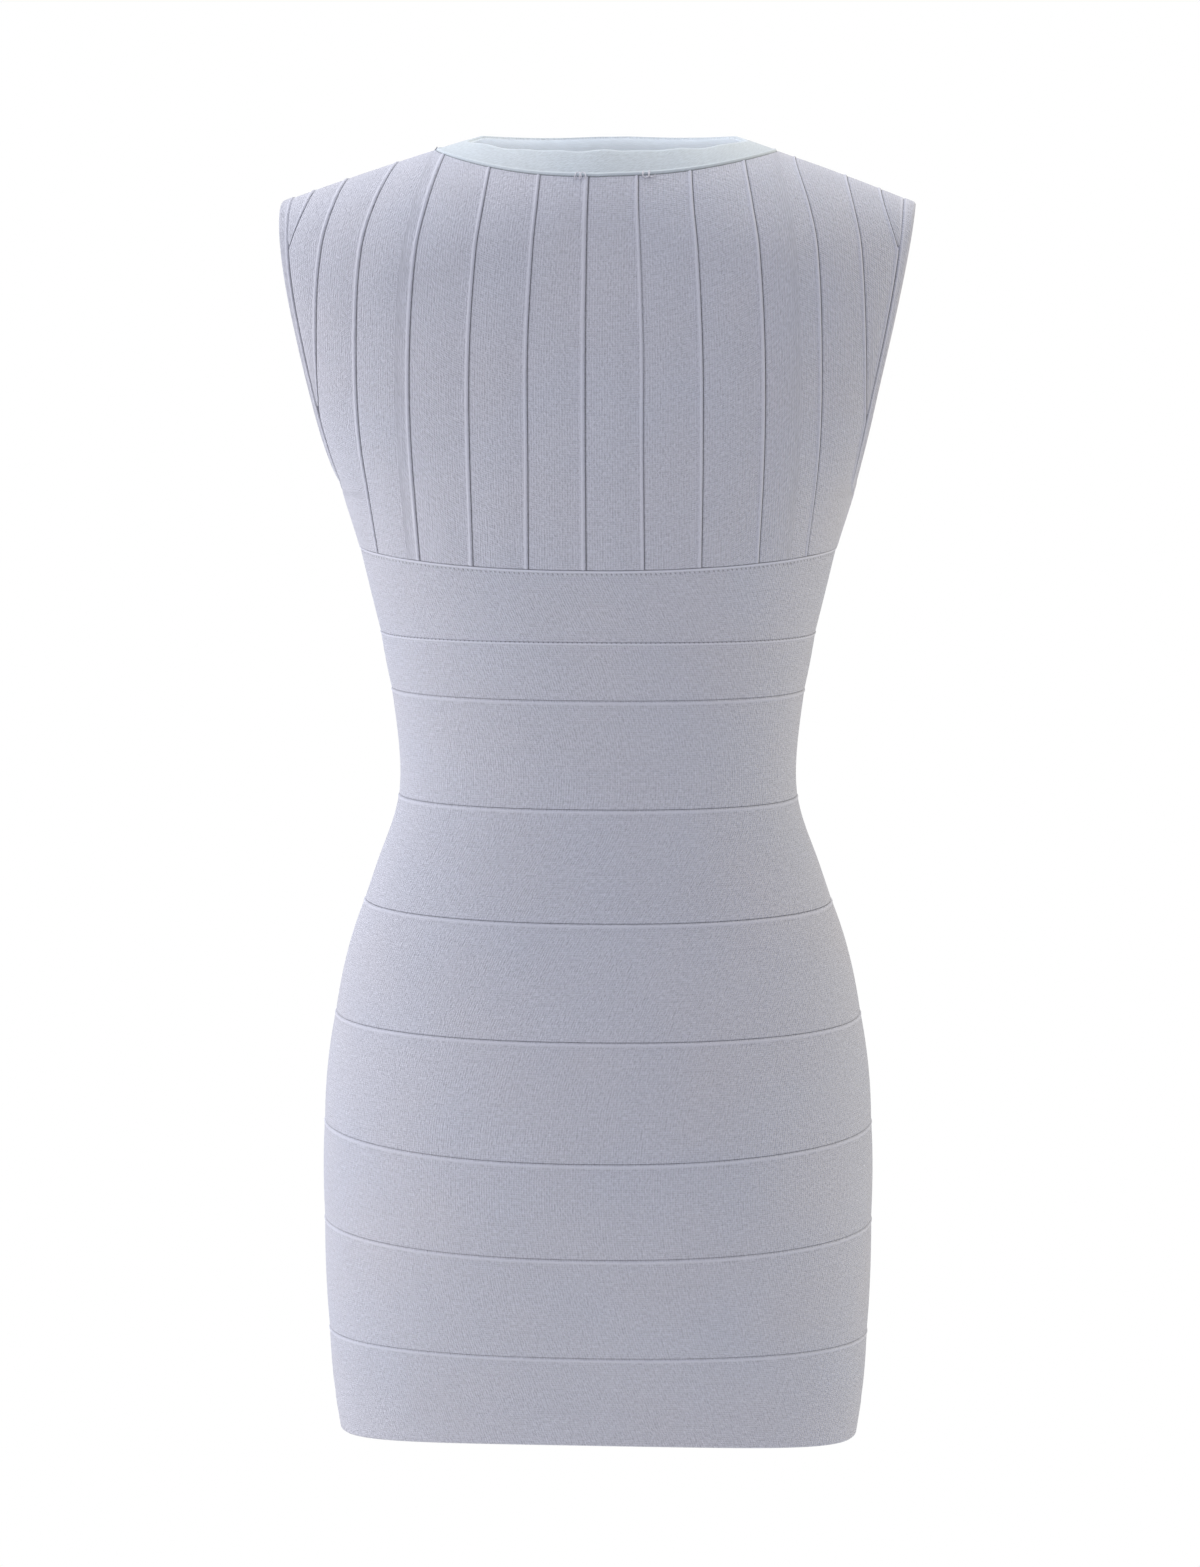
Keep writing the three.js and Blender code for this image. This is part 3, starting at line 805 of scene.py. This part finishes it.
def cloth_material(name, spec):
    """Knit: mottled colour with painted light and shade, and a bump of the ribs plus the stitches in the
    piece's own map.
    """
    material = bpy.data.materials.new(name)
    material.use_nodes = True
    tree = material.node_tree
    facts = {}
    for key in ("stitch_row", "hole_shade", "along_mm", "groove_shade", "lip"):
        facts[key] = placed(tree, "ShaderNodeAttribute", {}, attribute_name=key).outputs["Fac"]
    cloth = placed(tree, "ShaderNodeUVMap", {}, uv_map="cloth_mm").outputs["UV"]
    knit = {
        "Cloth mm": cloth,
        "Wale Pitch": WALE_PITCH,
        "Course Pitch": COURSE_PITCH,
        "Wales": spec["wales"],
        "Courses": spec["courses"],
        "Grain": spec["grain"],
    }
    ribs = placed(tree, "ShaderNodeGroup", knit, node_tree=knit_ribs).outputs["Height"]
    rows = {}
    for key, pitch in (("stitch_row", STITCH_PITCH), ("hole_shade", HOLE_PITCH)):
        inputs = {"Along mm": facts["along_mm"], "Row": facts[key], "Pitch": pitch}
        rows[key] = placed(tree, "ShaderNodeGroup", inputs, node_tree=seam_stitches).outputs["Height"]
    smooth = math_node(tree, "SUBTRACT", 1.0, facts["lip"])
    smooth.node.use_clamp = True
    knitted = math_node(tree, "MULTIPLY", ribs, smooth)
    height = math_node(tree, "MULTIPLY_ADD", rows["stitch_row"], STITCH_HEIGHT, knitted)
    relief = {"Strength": spec["bump"], "Distance": BUMP_DISTANCE, "Height": height}
    bump = placed(tree, "ShaderNodeBump", relief).outputs["Normal"]
    colours = {
        "Color": (*spec["color"], 1.0),
        "Place": tree.nodes.new("ShaderNodeTexCoord").outputs["Object"],
        "Amount": PATCHES,
        "Warmth": WARMTH,
        # the relief, the lip and the groove paint light and shade into the colour
        "Relief": height,
        "Relief Shading": spec["relief"],
        "Lip Highlight": facts["lip"],
        "Groove Shade": math_node(tree, "MAXIMUM", facts["groove_shade"], rows["hole_shade"]),
    }
    tint = placed(tree, "ShaderNodeGroup", colours, node_tree=mottle_and_shading).outputs["Color"]
    shader = tree.nodes["Principled BSDF"].inputs
    shader["Roughness"].default_value = spec["roughness"]
    shader["Sheen Weight"].default_value = spec["sheen"]
    shader["Sheen Roughness"].default_value = SHEEN_ROUGHNESS
    tree.links.new(bump, shader["Normal"])
    tree.links.new(tint, shader["Base Color"])
    return material


cloths = {name: cloth_material(name, spec) for name, spec in CLOTHS.items()}
print("cloths:", list(cloths))


# %% [markdown]
# ## The shape of a seam
# Where two strips meet, the edge of one is turned under and stands up as a soft lip, and the next one dips
# beside it. Seen from a step away that is a light line with a dark one next to it, which the shape gives in
# part, and a painted highlight on the lip and painted shade in the groove give the rest. The profile could
# be a bevel, but a lip is rounder than that, so it is a wide bell curve less a narrow one at the very edge.
# The kinds of seam differ in these sizes, and some have a row of stitches or of needle holes with painted
# shade beside them.

# %% Sizes of the seams
SEAM_LOOKS = {
    # the lip's height, distance from the edge, width and painted highlight, then the edge's depth and
    # painted shade
    "upright": {"rise": 0.6, "peak": 1.3, "spread": 0.8, "highlight": 1.0, "tuck": 0.35, "painted_shade": 1.25},
    "level": {"rise": 0.45, "peak": 1.6, "spread": 0.7, "highlight": 1.0, "tuck": 0.35, "painted_shade": 1.25},
    "stitched": {"rise": 0.45, "peak": 0.8, "spread": 0.65, "highlight": 1.9, "tuck": 0.3, "painted_shade": 1.7},
    "dotted": {"rise": 0.45, "peak": 0.85, "spread": 0.6, "highlight": 1.5, "tuck": 0.3, "painted_shade": 0.8},
    "shoulder": {"tuck": 0.3, "painted_shade": 0.35},
}
UNDER_LIP = 0.2  # an edge that a level lip lies over dips, and gets painted shade, this much of the lip's own
TUCK_SPREAD = 0.28
# width of the painted shade at a seam's edge
GROOVE_SPREAD = 0.27
HOLE_ROWS = {
    # from, to, and how dark the painted shade in the needle holes is
    "level": (2.8, 4.6, 0.12),
    "stitched": (1.9, 3.1, 1.3),
    "dotted": (-0.5, 0.7, 1.5),
}
STITCH_ROWS = {
    # from, to, and how high
    "right": (3.4, 7.0, 1.0),
    "left": (1.0, 4.0, 0.4),
    "neck": (2.9, 4.2, 0.5),
    "armhole": (2.0, 3.4, 0.8),
}
FOLDS = {
    # how thick, from, to, then how far the very edge falls, and over what width
    "hem": (0.25, 0.6, 22.0, 0.7, 0.5),
    "neck": (0.3, 1.0, 60.0, 0.8, 0.7),
    "armhole": (0.45, 0.2, 40.0, 0.8, 0.8),
}
SOFT_END = 0.5  # of a window
EDGE_STEPS = np.array([0.0, 0.2, 0.45, 0.8, 1.2, 1.65, 2.1, 2.6, 3.2, 4.0, 5.0])
PLAIN_EDGE_STEPS = np.array([0.0, 0.25, 0.5, 0.8, 1.2, 1.8, 3.0])
PUFF = 0.5  # how much a strip swells between its seams
TIP_FADE_HEIGHTS = (-58.0, -75.0)  # between these the armhole's seam grows to full strength
TIP_FAINT = 0.25  # its strength at the shoulder's tip
print("kinds of seam:", list(SEAM_LOOKS))


# %% [markdown]
# All of a profile depends on one number, the distance from the seam's edge. Bells make its soft
# forms and windows its narrow rows, and both take whole grids of distances at once.

# %% Heights and masks across a seam
def bell(distance, middle, spread):
    """Gaussian of the distance about a middle."""
    return np.exp(-(((distance - middle) / spread) ** 2))


def lip_mask(distance, look):
    """1 on the top of a turned edge, fading on both sides of it; it shapes the lip and places its painted
    highlight.
    """
    return bell(distance, look["peak"], look["spread"])


def dip(distance, look):
    """Height of an edge that is tucked in: a narrow bell, turned down."""
    return -look["tuck"] * bell(distance, 0.0, TUCK_SPREAD)


def lip(distance, look):
    """Height of a turned edge: a rounded ridge, and a drop right at the edge."""
    return look["rise"] * lip_mask(distance, look) + dip(distance, look)


def groove_shade_mask(distance, look):
    """How dark the painted shade in the groove is: a narrow bell at the edge."""
    return look["painted_shade"] * bell(distance, 0.0, GROOVE_SPREAD)


def tip_fade(z):
    """How plain the armhole's seam is: faint at the shoulder's tip, rising evenly to 1 below it."""
    start, end = TIP_FADE_HEIGHTS
    return TIP_FAINT + (1.0 - TIP_FAINT) * np.clip((start - z) / (start - end), 0.0, 1.0)


def window(distance, start, end):
    """1 between start and end, rising and falling evenly over a short soft end."""
    rise = np.clip((distance - start) / SOFT_END, 0.0, 1.0)
    fall = np.clip((end - distance) / SOFT_END, 0.0, 1.0)
    return rise * fall


def row_beside(distance, row):
    """Mask of a row of stitches or needle holes: a window times the row's strength."""
    start, end, strength = row
    return strength * window(distance, start, end)


def fold(kind, inward, to_edge):
    """Height of a folded edge: a faint thickness, less a bell that rounds the very edge over."""
    thick, start, end, fall, spread = FOLDS[kind]
    return thick * window(inward, start, end) - fall * bell(to_edge, 0.0, spread)


def spread_out(left, right, middle_count):
    """Marks of three stretches: edge steps from the left, even ones between, and from the right.

    Each mark is (share of the width, millimetres from the left, millimetres from the right).
    """
    even = (np.arange(middle_count) + 1.0) / (middle_count + 1.0)
    zero = np.zeros(middle_count)
    share = np.concatenate([np.zeros(len(left)), even, np.ones(len(right))])
    from_left = np.concatenate([left, zero + left[-1], np.zeros(len(right)) + left[-1]])
    from_right = np.concatenate([np.zeros(len(left)) + right[-1], zero + right[-1], right[::-1]])
    return share, from_left, from_right


print("height of an upright seam's lip, mm:", round(float(lip(1.3, SEAM_LOOKS["upright"])), 2))

# %% [markdown]
# ## The bodice strips
# A strip is a grid between two seams. Its rows crowd together at the top, where the cloth turns
# over the shoulder, and its columns crowd at the edges, where the lip and the groove need them.
# Strips beside the armhole run out to a point, and stop where they would be too narrow to sew.

# %% Rows of the bodice
STRIP_ROWS = 84


def bodice_rows():
    """Shares of the bodice's height: squares of even steps, with extra ones close to both ends."""
    even = np.linspace(0.0, 1.0, STRIP_ROWS) ** 2
    near_top = PLAIN_EDGE_STEPS / -LEVEL_SEAMS[0][0]
    corner = ARMHOLE["bottom"] - ARMHOLE["lower"] - GAP
    top = shoulder_top(outer_seam("back", np.array(corner), GAP))
    at_corner = (top - corner) / (top - LEVEL_SEAMS[0][0] - GAP)
    return np.unique(np.round(np.concatenate([even, 1.0 - near_top, near_top, [at_corner]]), 6))


ROWS = bodice_rows()
print("rows of a full strip:", len(ROWS))

# %% [markdown]
# Across a strip, the left edge only dips, because the next strip's lip lies over it, and the right
# edge carries the lip. The heights of a row are solved again between the two seams, so that rows
# run level from strip to strip. A flat strip bent by a modifier would not meet its neighbours.

# %% One strip
STRIP_COLUMNS = 14
NARROWEST_END = 0.4
NARROW = 2.6  # a strip narrower than this many edge widths has its edges squeezed
PUFF_START = 20.0  # distance from the shoulder over which the swelling grows
BINDING_WIDTH = 24.0  # of the neck binding, above the strips


def strip_rows(side, left):
    """Rows of a strip that are wide enough, and the places of its two seams on them."""
    start = seam_place(side, ROWS, seam_distance(side, left, 1.0))
    end = seam_place(side, ROWS, seam_distance(side, left + 1, -1.0))
    narrow = (end[2] - start[2]) < NARROWEST_END
    count = int(np.argmax(narrow)) if narrow.any() else len(ROWS)
    return [[v[:count, None] for v in line] for line in ([ROWS], start[:2], end[:2])]


def strip_shares(width, squeeze):
    """Shares of the width for a strip's columns: edge steps from the left, even ones, edge steps."""
    share, from_left, from_right = spread_out(PLAIN_EDGE_STEPS, EDGE_STEPS, STRIP_COLUMNS)
    scale = squeeze / width
    left_part = PLAIN_EDGE_STEPS[-1] * scale
    right_part = EDGE_STEPS[-1] * scale
    between = left_part + share * (1.0 - left_part - right_part)
    inner = np.where(share == 1.0, 1.0 - from_right * scale, between)
    return np.where(share == 0.0, from_left * scale, inner)


def bodice_strip(side, left, name):
    """Grid of angles between the two seams, the heights that keep its rows, and the lift."""
    (rows,), start, end = strip_rows(side, left)
    width = np.linalg.norm(skin_at(side, *end) - skin_at(side, *start), axis=2)
    squeeze = np.minimum(width / (NARROW * EDGE_STEPS[-1]), 1.0)
    u = strip_shares(width, squeeze)
    angle = start[0] + (end[0] - start[0]) * u
    z = start[1] + (end[1] - start[1]) * u
    for _ in range(SOLVE_TURNS):
        z = (z + bodice_height(side, width_at(side, angle, z), rows, angle)) / 2.0
    points = skin_at(side, angle, z)
    points[..., 1] += FACING[side] * GAP
    if side == "front":
        points = points[:, ::-1]
        u = u[:, ::-1]
    across = arc_lengths(points, 1)
    down = arc_lengths(points, 0)
    to_bottom = down[-1] - down
    to_left = u * width
    to_right = (1.0 - u) * width
    from_lip = to_right / squeeze
    from_dip = to_left / squeeze
    upright, top, bottom = SEAM_LOOKS["upright"], SEAM_LOOKS["shoulder"], SEAM_LOOKS["stitched"]
    fade = tip_fade(points[..., 2])
    dip_fade = fade if left == -STRIPS_PER_SIDE else 1.0
    lip_fade = fade if left + 1 == STRIPS_PER_SIDE else 1.0
    lift = squeeze * (lip(from_lip, upright) * lip_fade + dip(from_dip, upright) * dip_fade)
    lift += dip(down, top)
    lift += PUFF * 4.0 * u * (1.0 - u) * squeeze * np.clip(down / PUFF_START, 0.0, 1.0)
    # painted shade in the grooves of the seams beside and above the strip
    groove_shade = np.maximum(groove_shade_mask(from_dip, upright) * dip_fade, groove_shade_mask(down, top))
    groove_shade = np.maximum(groove_shade, groove_shade_mask(from_lip, upright) * lip_fade)
    if rows[-1, 0] == 1.0:
        lift += UNDER_LIP * dip(to_bottom, bottom)
        groove_shade = np.maximum(groove_shade, UNDER_LIP * groove_shade_mask(to_bottom, bottom))
    lift = np.maximum(lift, -upright["tuck"])
    stitch = np.maximum(row_beside(to_right, STITCH_ROWS["right"]), row_beside(to_left, STITCH_ROWS["left"]))
    facts = {
        "stitch_row": stitch * (squeeze == 1.0),
        "hole_shade": 0.0 * u,
        "along_mm": down,
        "groove_shade": groove_shade,
        # painted highlight on the lip
        "lip": upright["highlight"] * lip_mask(from_lip, upright),
    }
    shade = inside_shade(BINDING_WIDTH + down)
    return cloth_shell(name, points, lift, False, facts, (across, down), cloths["knit"], shade)


print("columns of a strip:", len(PLAIN_EDGE_STEPS) + STRIP_COLUMNS + len(EDGE_STEPS))

# %% Cut all the strips
pieces = {}
for side in ("back", "front"):
    for left in range(-STRIPS_PER_SIDE, STRIPS_PER_SIDE):
        node = f"{side}_strip_{left + STRIPS_PER_SIDE + 1}"
        pieces[node] = bodice_strip(side, left, f"{node}_cloth")
print("strips:", len(pieces))

# %% [markdown]
# ## The level bands
# Each band is a tube that closes on itself, so its grid's rows are rings. The knit's courses run
# round it and its wales stand upright. It swells very slightly between its seams, because the
# seams hold it in. The last one ends in the hem, a fold that is rounded over at its edge.

# %% One band
BAND_COLUMNS = 260
BAND_ROWS = 18
SEAM_KINDS = {1: "stitched", 2: "dotted"}  # the other level seams are plain


def ring_angles(count):
    """Even angles once round: the back's from left to right, then the front's from right to left."""
    half = np.linspace(-np.pi / 2, np.pi / 2, count // 2, endpoint=False)
    return half, -half


def level_band(number, name):
    """Rings between two level seams, with a lip on top and a tuck below, or a hem."""
    upper, lower = LEVEL_SEAMS[number - 1], LEVEL_SEAMS[number]
    hem = number == len(LEVEL_SEAMS) - 1
    marks = spread_out(EDGE_STEPS, EDGE_STEPS, BAND_ROWS)
    share, from_top, from_bottom = (mark[:, None] for mark in marks)
    halves = []
    for side, angle in zip(("back", "front"), ring_angles(BAND_COLUMNS)):
        top = level_seam(upper, side, angle) - GAP
        bottom = level_seam(lower, side, angle) + (0.0 if hem else GAP)
        high = top - EDGE_STEPS[-1]
        low = bottom + EDGE_STEPS[-1]
        z = np.where(share == 1.0, bottom + from_bottom, high + (low - high) * share)
        z = np.where(share == 0.0, top - from_top, z)
        halves.append(skin_at(side, angle, z))
    points = np.concatenate(halves, axis=1)
    down = arc_lengths(points, 0)
    around = arc_lengths(points, 1)
    to_bottom = down[-1] - down
    kind = SEAM_KINDS.get(number, "level")
    look = SEAM_LOOKS[kind]
    lift = lip(down, look) + PUFF * 4.0 * (down / down[-1]) * (to_bottom / down[-1])
    # painted shade in the groove of the seam above, and below
    groove_shade = groove_shade_mask(down, look)
    if hem:
        lift += fold("hem", to_bottom, to_bottom)
    else:
        next_look = SEAM_LOOKS[SEAM_KINDS.get(number + 1, "level")]
        lift += UNDER_LIP * dip(to_bottom, next_look)
        groove_shade = np.maximum(groove_shade, UNDER_LIP * groove_shade_mask(to_bottom, next_look))
    facts = {
        "stitch_row": 0.0 * down,
        # painted shade in the needle holes
        "hole_shade": row_beside(down, HOLE_ROWS[kind]),
        "along_mm": around,
        "groove_shade": groove_shade,
        # painted highlight on the lip
        "lip": look["highlight"] * lip_mask(down, look),
    }
    return cloth_shell(name, points, lift, True, facts, (around, down), cloths["knit"])


print("rows of a band:", BAND_ROWS + 2 * len(EDGE_STEPS))

# %% Cut all the bands
for number in range(1, len(LEVEL_SEAMS)):
    pieces[f"band_{number}"] = level_band(number, f"band_{number}_cloth")
print("bands:", len(LEVEL_SEAMS) - 1)

# %% [markdown]
# ## The neck binding
# The neckline is bound with a smooth pale tape. Its lower edge is a rolled rib that lies over the
# strips' top ends, and its upper edge is a fold. It follows the same domed surface as the strips,
# between two curves that fall away from the shoulder's ridge, because a tube bent along the
# neckline would not lie flat on the shoulders.

# %% Neck binding
NECK_COLUMNS = 240
TAPE_WIDTH = 26.0  # turns the edge steps into shares of the tape's width
NECK_STEPS = np.concatenate([
    EDGE_STEPS[:-1] / TAPE_WIDTH,
    np.linspace(0.19, 0.93, 14),
    [0.96, 0.98, 0.99, 1.0],
])
RIB_RISE = 0.75
RIB = (1.25, 0.75)  # distance from the seam, and width
CREASE = (3.4, 0.5)
# how dark the painted shade in a crease of the tape is
CREASE_SHADE = 0.12
RIM_HIGHLIGHT = (0.9, 0.9)  # painted highlight on the rim's roll: distance from the rim, and width
RIM_WAVE = {"back": 0.3, "front": 0.0}  # the back's rim isn't quite even
RIM_WAVE_LENGTHS = (37.0, 23.0)


def neck_binding_cloth():
    """Grid from the seam at step 0 to the rim at step 1, on the dome of the shoulders."""
    halves = []
    s = NECK_STEPS[:, None]
    seam_half = NECK["seam_half"] - GAP
    for side, turn in zip(("back", "front"), ring_angles(NECK_COLUMNS)):
        seam_drop, rim_drop = NECK_DROPS[side]
        half = seam_half + (NECK["rim_half"] - seam_half) * s
        fall_half = seam_half + (RIM_FALL_HALF[side] - seam_half) * s
        drop = seam_drop - GAP + (rim_drop - seam_drop + GAP) * s
        x = NECK["shift"] + np.sin(turn) * half
        z = shoulder_top(x) - neck_drop(x, drop, fall_half)
        waves = [np.sin(2.0 * np.pi * x / length) for length in RIM_WAVE_LENGTHS]
        z += RIM_WAVE[side] * s**2 * sum(waves)
        halves.append(skin_at(side, angle_of(side, x, z), z, neck_drop(x, drop, half)))
    points = np.concatenate(halves, axis=1)[::-1]
    up = arc_lengths(points[::-1], 0)[::-1]
    around = arc_lengths(points, 1)
    to_rim = up[0] - up
    look = SEAM_LOOKS["upright"]
    roll = bell(up, *RIB)
    lift = RIB_RISE * roll + dip(up, look) + fold("neck", up, to_rim)
    facts = {
        "stitch_row": row_beside(up, STITCH_ROWS["neck"]),
        "hole_shade": 0.0 * up,
        "along_mm": around,
        # painted shade at the seam and in the crease, and painted highlight on the rib and the rim
        "groove_shade": np.maximum(groove_shade_mask(up, look), CREASE_SHADE * bell(up, *CREASE)),
        "lip": np.maximum(roll, bell(to_rim, *RIM_HIGHLIGHT)),
    }
    material, shade = cloths["neck_trim"], inside_shade(to_rim)
    return cloth_shell("neck_binding_cloth", points, lift, True, facts, (around, up), material, shade)


pieces["neck_binding"] = neck_binding_cloth()
print("neck binding:", len(pieces["neck_binding"].data.vertices), "points")

# %% [markdown]
# Where the neck tape was sewn on, the machine's thread was locked twice, and it left two small
# tangles on the seam. Each one is a single thread that loops across the seam a few times. A curve
# with a bevel would do it as well, but a tube on a grid keeps the whole lesson in one method.

# %% Two tangles of thread
TANGLES = [
    # name, distance from the centre line, width, loops (they start below the seam if negative), reach
    ("thread_tangle_1", -5.0, 6.8, -2.5, 1.9),
    ("thread_tangle_2", 33.6, 6.8, 2.0, 1.9),
]
THREAD_RINGS = 70
THREAD_SIDES = 8
THREAD_RADIUS = 0.34
THREAD_TAPER = 0.7  # share of the radius that is lost at both ends
TAPER_POWER = 12  # high, so that only the ends are thinner
THREAD_SWAY = 1.1  # sideways
THREAD_RAISE = 0.4  # above the seam
STAND_OFF = (1.0, 0.5)  # from the cloth: on average, and how much it changes
NEVER_AHEAD = np.array([0.3, 1.0, 0.2])  # the thread never runs this way


def thread_tube(name, path, material):
    """Rings round a path: each point is the path plus radius times (side cos + up sin) of its turn."""
    ahead = np.gradient(path, axis=0)
    ahead /= np.linalg.norm(ahead, axis=1, keepdims=True)
    side = np.cross(ahead, NEVER_AHEAD)
    side /= np.linalg.norm(side, axis=1, keepdims=True)
    up = np.cross(side, ahead)
    turn = np.linspace(0.0, 2.0 * np.pi, THREAD_SIDES, endpoint=False)
    share = np.linspace(-1.0, 1.0, len(path))
    radius = THREAD_RADIUS * (1.0 - THREAD_TAPER * np.abs(share) ** TAPER_POWER)
    ring = np.cos(turn)[None, :, None] * side[:, None] + np.sin(turn)[None, :, None] * up[:, None]
    points = path[:, None] + radius[:, None, None] * ring
    faces = cell_faces(len(path), THREAD_SIDES, True)[:, ::-1].tolist()
    first = list(range(THREAD_SIDES))
    last = [len(path) * THREAD_SIDES - 1 - number for number in range(THREAD_SIDES)]
    mesh = bpy.data.meshes.new(name)
    mesh.from_pydata((points.reshape(-1, 3) * MM).tolist(), [], faces + [first, last])
    return add_piece(name, mesh, material)


def tangle_path(middle, width, loops, reach):
    """Path over the seam: x goes evenly across, z swings as a sine, and it stands off the cloth."""
    share = np.linspace(0.0, 1.0, THREAD_RINGS)
    turn = 2.0 * np.pi * loops * share
    x = middle + width * (share - 0.5) + THREAD_SWAY * np.cos(turn)
    seam_z = shoulder_top(x) - neck_drop(x, NECK_DROPS["back"][0], NECK["seam_half"])
    z = seam_z + THREAD_RAISE + reach * np.sin(turn)
    path = skin_at("back", angle_of("back", x, z), z)
    path[:, 1] -= STAND_OFF[0] + STAND_OFF[1] * np.cos(2.0 * turn)
    return path


tangles = [thread_tube(name, tangle_path(*sizes), cloths["thread"]) for name, *sizes in TANGLES]
print("tangles of thread:", [tangle.name for tangle in tangles])

# %% [markdown]
# ## The armhole bindings
# Each armhole has a narrow binding of the dress's own knit. Seen from the side it is an oval that
# the shoulder closes at the top. The back half and the front half are worked out separately and
# joined into one ring at the shoulder and under the arm.

# %% Armhole bindings
ARM_ROWS = 60
ARM_STEPS = np.array([0.0, 0.04, 0.09, 0.15, 0.24, 0.36, 0.5, 0.64, 0.78, 0.88, 0.95, 1.0])
ARM_LIP = (1.3, 0.6)  # painted highlight on the lip: distance from the seam, and width
EDGE_BLEND = 30.0  # height over which the free edge goes over from the oval to the shoulder's line


def armhole_curve(side, towards, row_share):
    """Places of the seam and of the free edge, from the shoulder at 0 to under the arm at 1."""
    centre = ARMHOLE["centre"]
    reach = centre - ARMHOLE["bottom"] + ARMHOLE["lower"] - GAP
    top = float(seam_place(side, np.array([0.0]), lambda z: outer_seam(side, z, -GAP))[1][0])
    upper_z = top + (centre - top) * (2.0 * np.clip(row_share, 0.0, 0.5)) ** 2
    lower_z = centre - reach * np.sin((np.clip(row_share, 0.5, 1.0) - 0.5) * np.pi)
    seam_z = np.where(row_share < 0.5, upper_z, lower_z)
    seam_x = outer_seam(side, seam_z, -GAP)
    below = np.maximum(shoulder_top(seam_x) - seam_z, 0.0)
    edge_low = centre + (seam_z - centre) * (centre - ARMHOLE["bottom"]) / reach
    edge_high = seam_z
    for _ in range(SOLVE_TURNS):
        edge_high = shoulder_top(half_width(edge_high)) - below
    join = np.clip((seam_z - centre) / EDGE_BLEND, 0.0, 1.0)
    edge_z = edge_low + (edge_high - edge_low) * join
    seam_angle = angle_of(side, towards * seam_x, seam_z)
    edge_angle = angle_of(side, towards * half_width(edge_z), edge_z)
    return seam_angle, seam_z, edge_angle, edge_z


def armhole_binding_cloth(towards, name):
    """Ring of steps from the seam to the free edge; angles and heights are blended evenly."""
    halves = []
    s = ARM_STEPS[:, None]
    share = np.linspace(0.0, 1.0, ARM_ROWS)
    for side in ("back", "front"):
        seam_angle, seam_z, edge_angle, edge_z = armhole_curve(side, towards, share)
        angle = seam_angle + (edge_angle - seam_angle) * s
        halves.append(skin_at(side, angle, seam_z + (edge_z - seam_z) * s))
    halves[0][:, [0, -1], 1] = 0.0
    points = np.concatenate([halves[0], halves[1][:, -2:0:-1]], axis=1)[::-1]
    if towards < 0:
        points = points[:, ::-1]
    to_edge = arc_lengths(points, 0)
    around = arc_lengths(points, 1)
    out = to_edge[-1] - to_edge
    look = SEAM_LOOKS["upright"]
    faded = tip_fade(points[..., 2])
    lift = fold("armhole", out, to_edge) + dip(out, look) * faded
    facts = {
        "stitch_row": row_beside(out, STITCH_ROWS["armhole"]),
        "hole_shade": 0.0 * out,
        "along_mm": around,
        # painted shade in the seam's groove, and painted highlight on the lip
        "groove_shade": groove_shade_mask(out, look) * faded,
        "lip": bell(out, *ARM_LIP),
    }
    return cloth_shell(name, points, lift, True, facts, (around, out), cloths["knit"])


for towards, word in ((-1.0, "left"), (1.0, "right")):
    node = f"armhole_binding_{word}"
    pieces[node] = armhole_binding_cloth(towards, f"{node}_cloth")
print("pieces so far:", len(pieces))

# %% [markdown]
# ## Hand the pieces over
# Each cloth piece now stands for its solid, which is hidden. The size that it was cut to is printed: the
# strips and bands were cut a little narrower than they measure when worn, because the knit is stretched by
# the body.

for node, piece in pieces.items():
    width, length, area = cuts[piece.name]
    if "armhole" in node:
        length += 2.0 * WALL * MM  # the folds along both long edges
        area += 2.0 * WALL * MM * width
    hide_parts(node)
    area = min(area, width * length)
    print(f"{node}: cut {width * 1000:.0f} x {length * 1000:.0f} mm, {area * 10000:.0f} square cm")
print("cut cloth, square metres:", round(sum(cut[2] for cut in cuts.values()), 3))
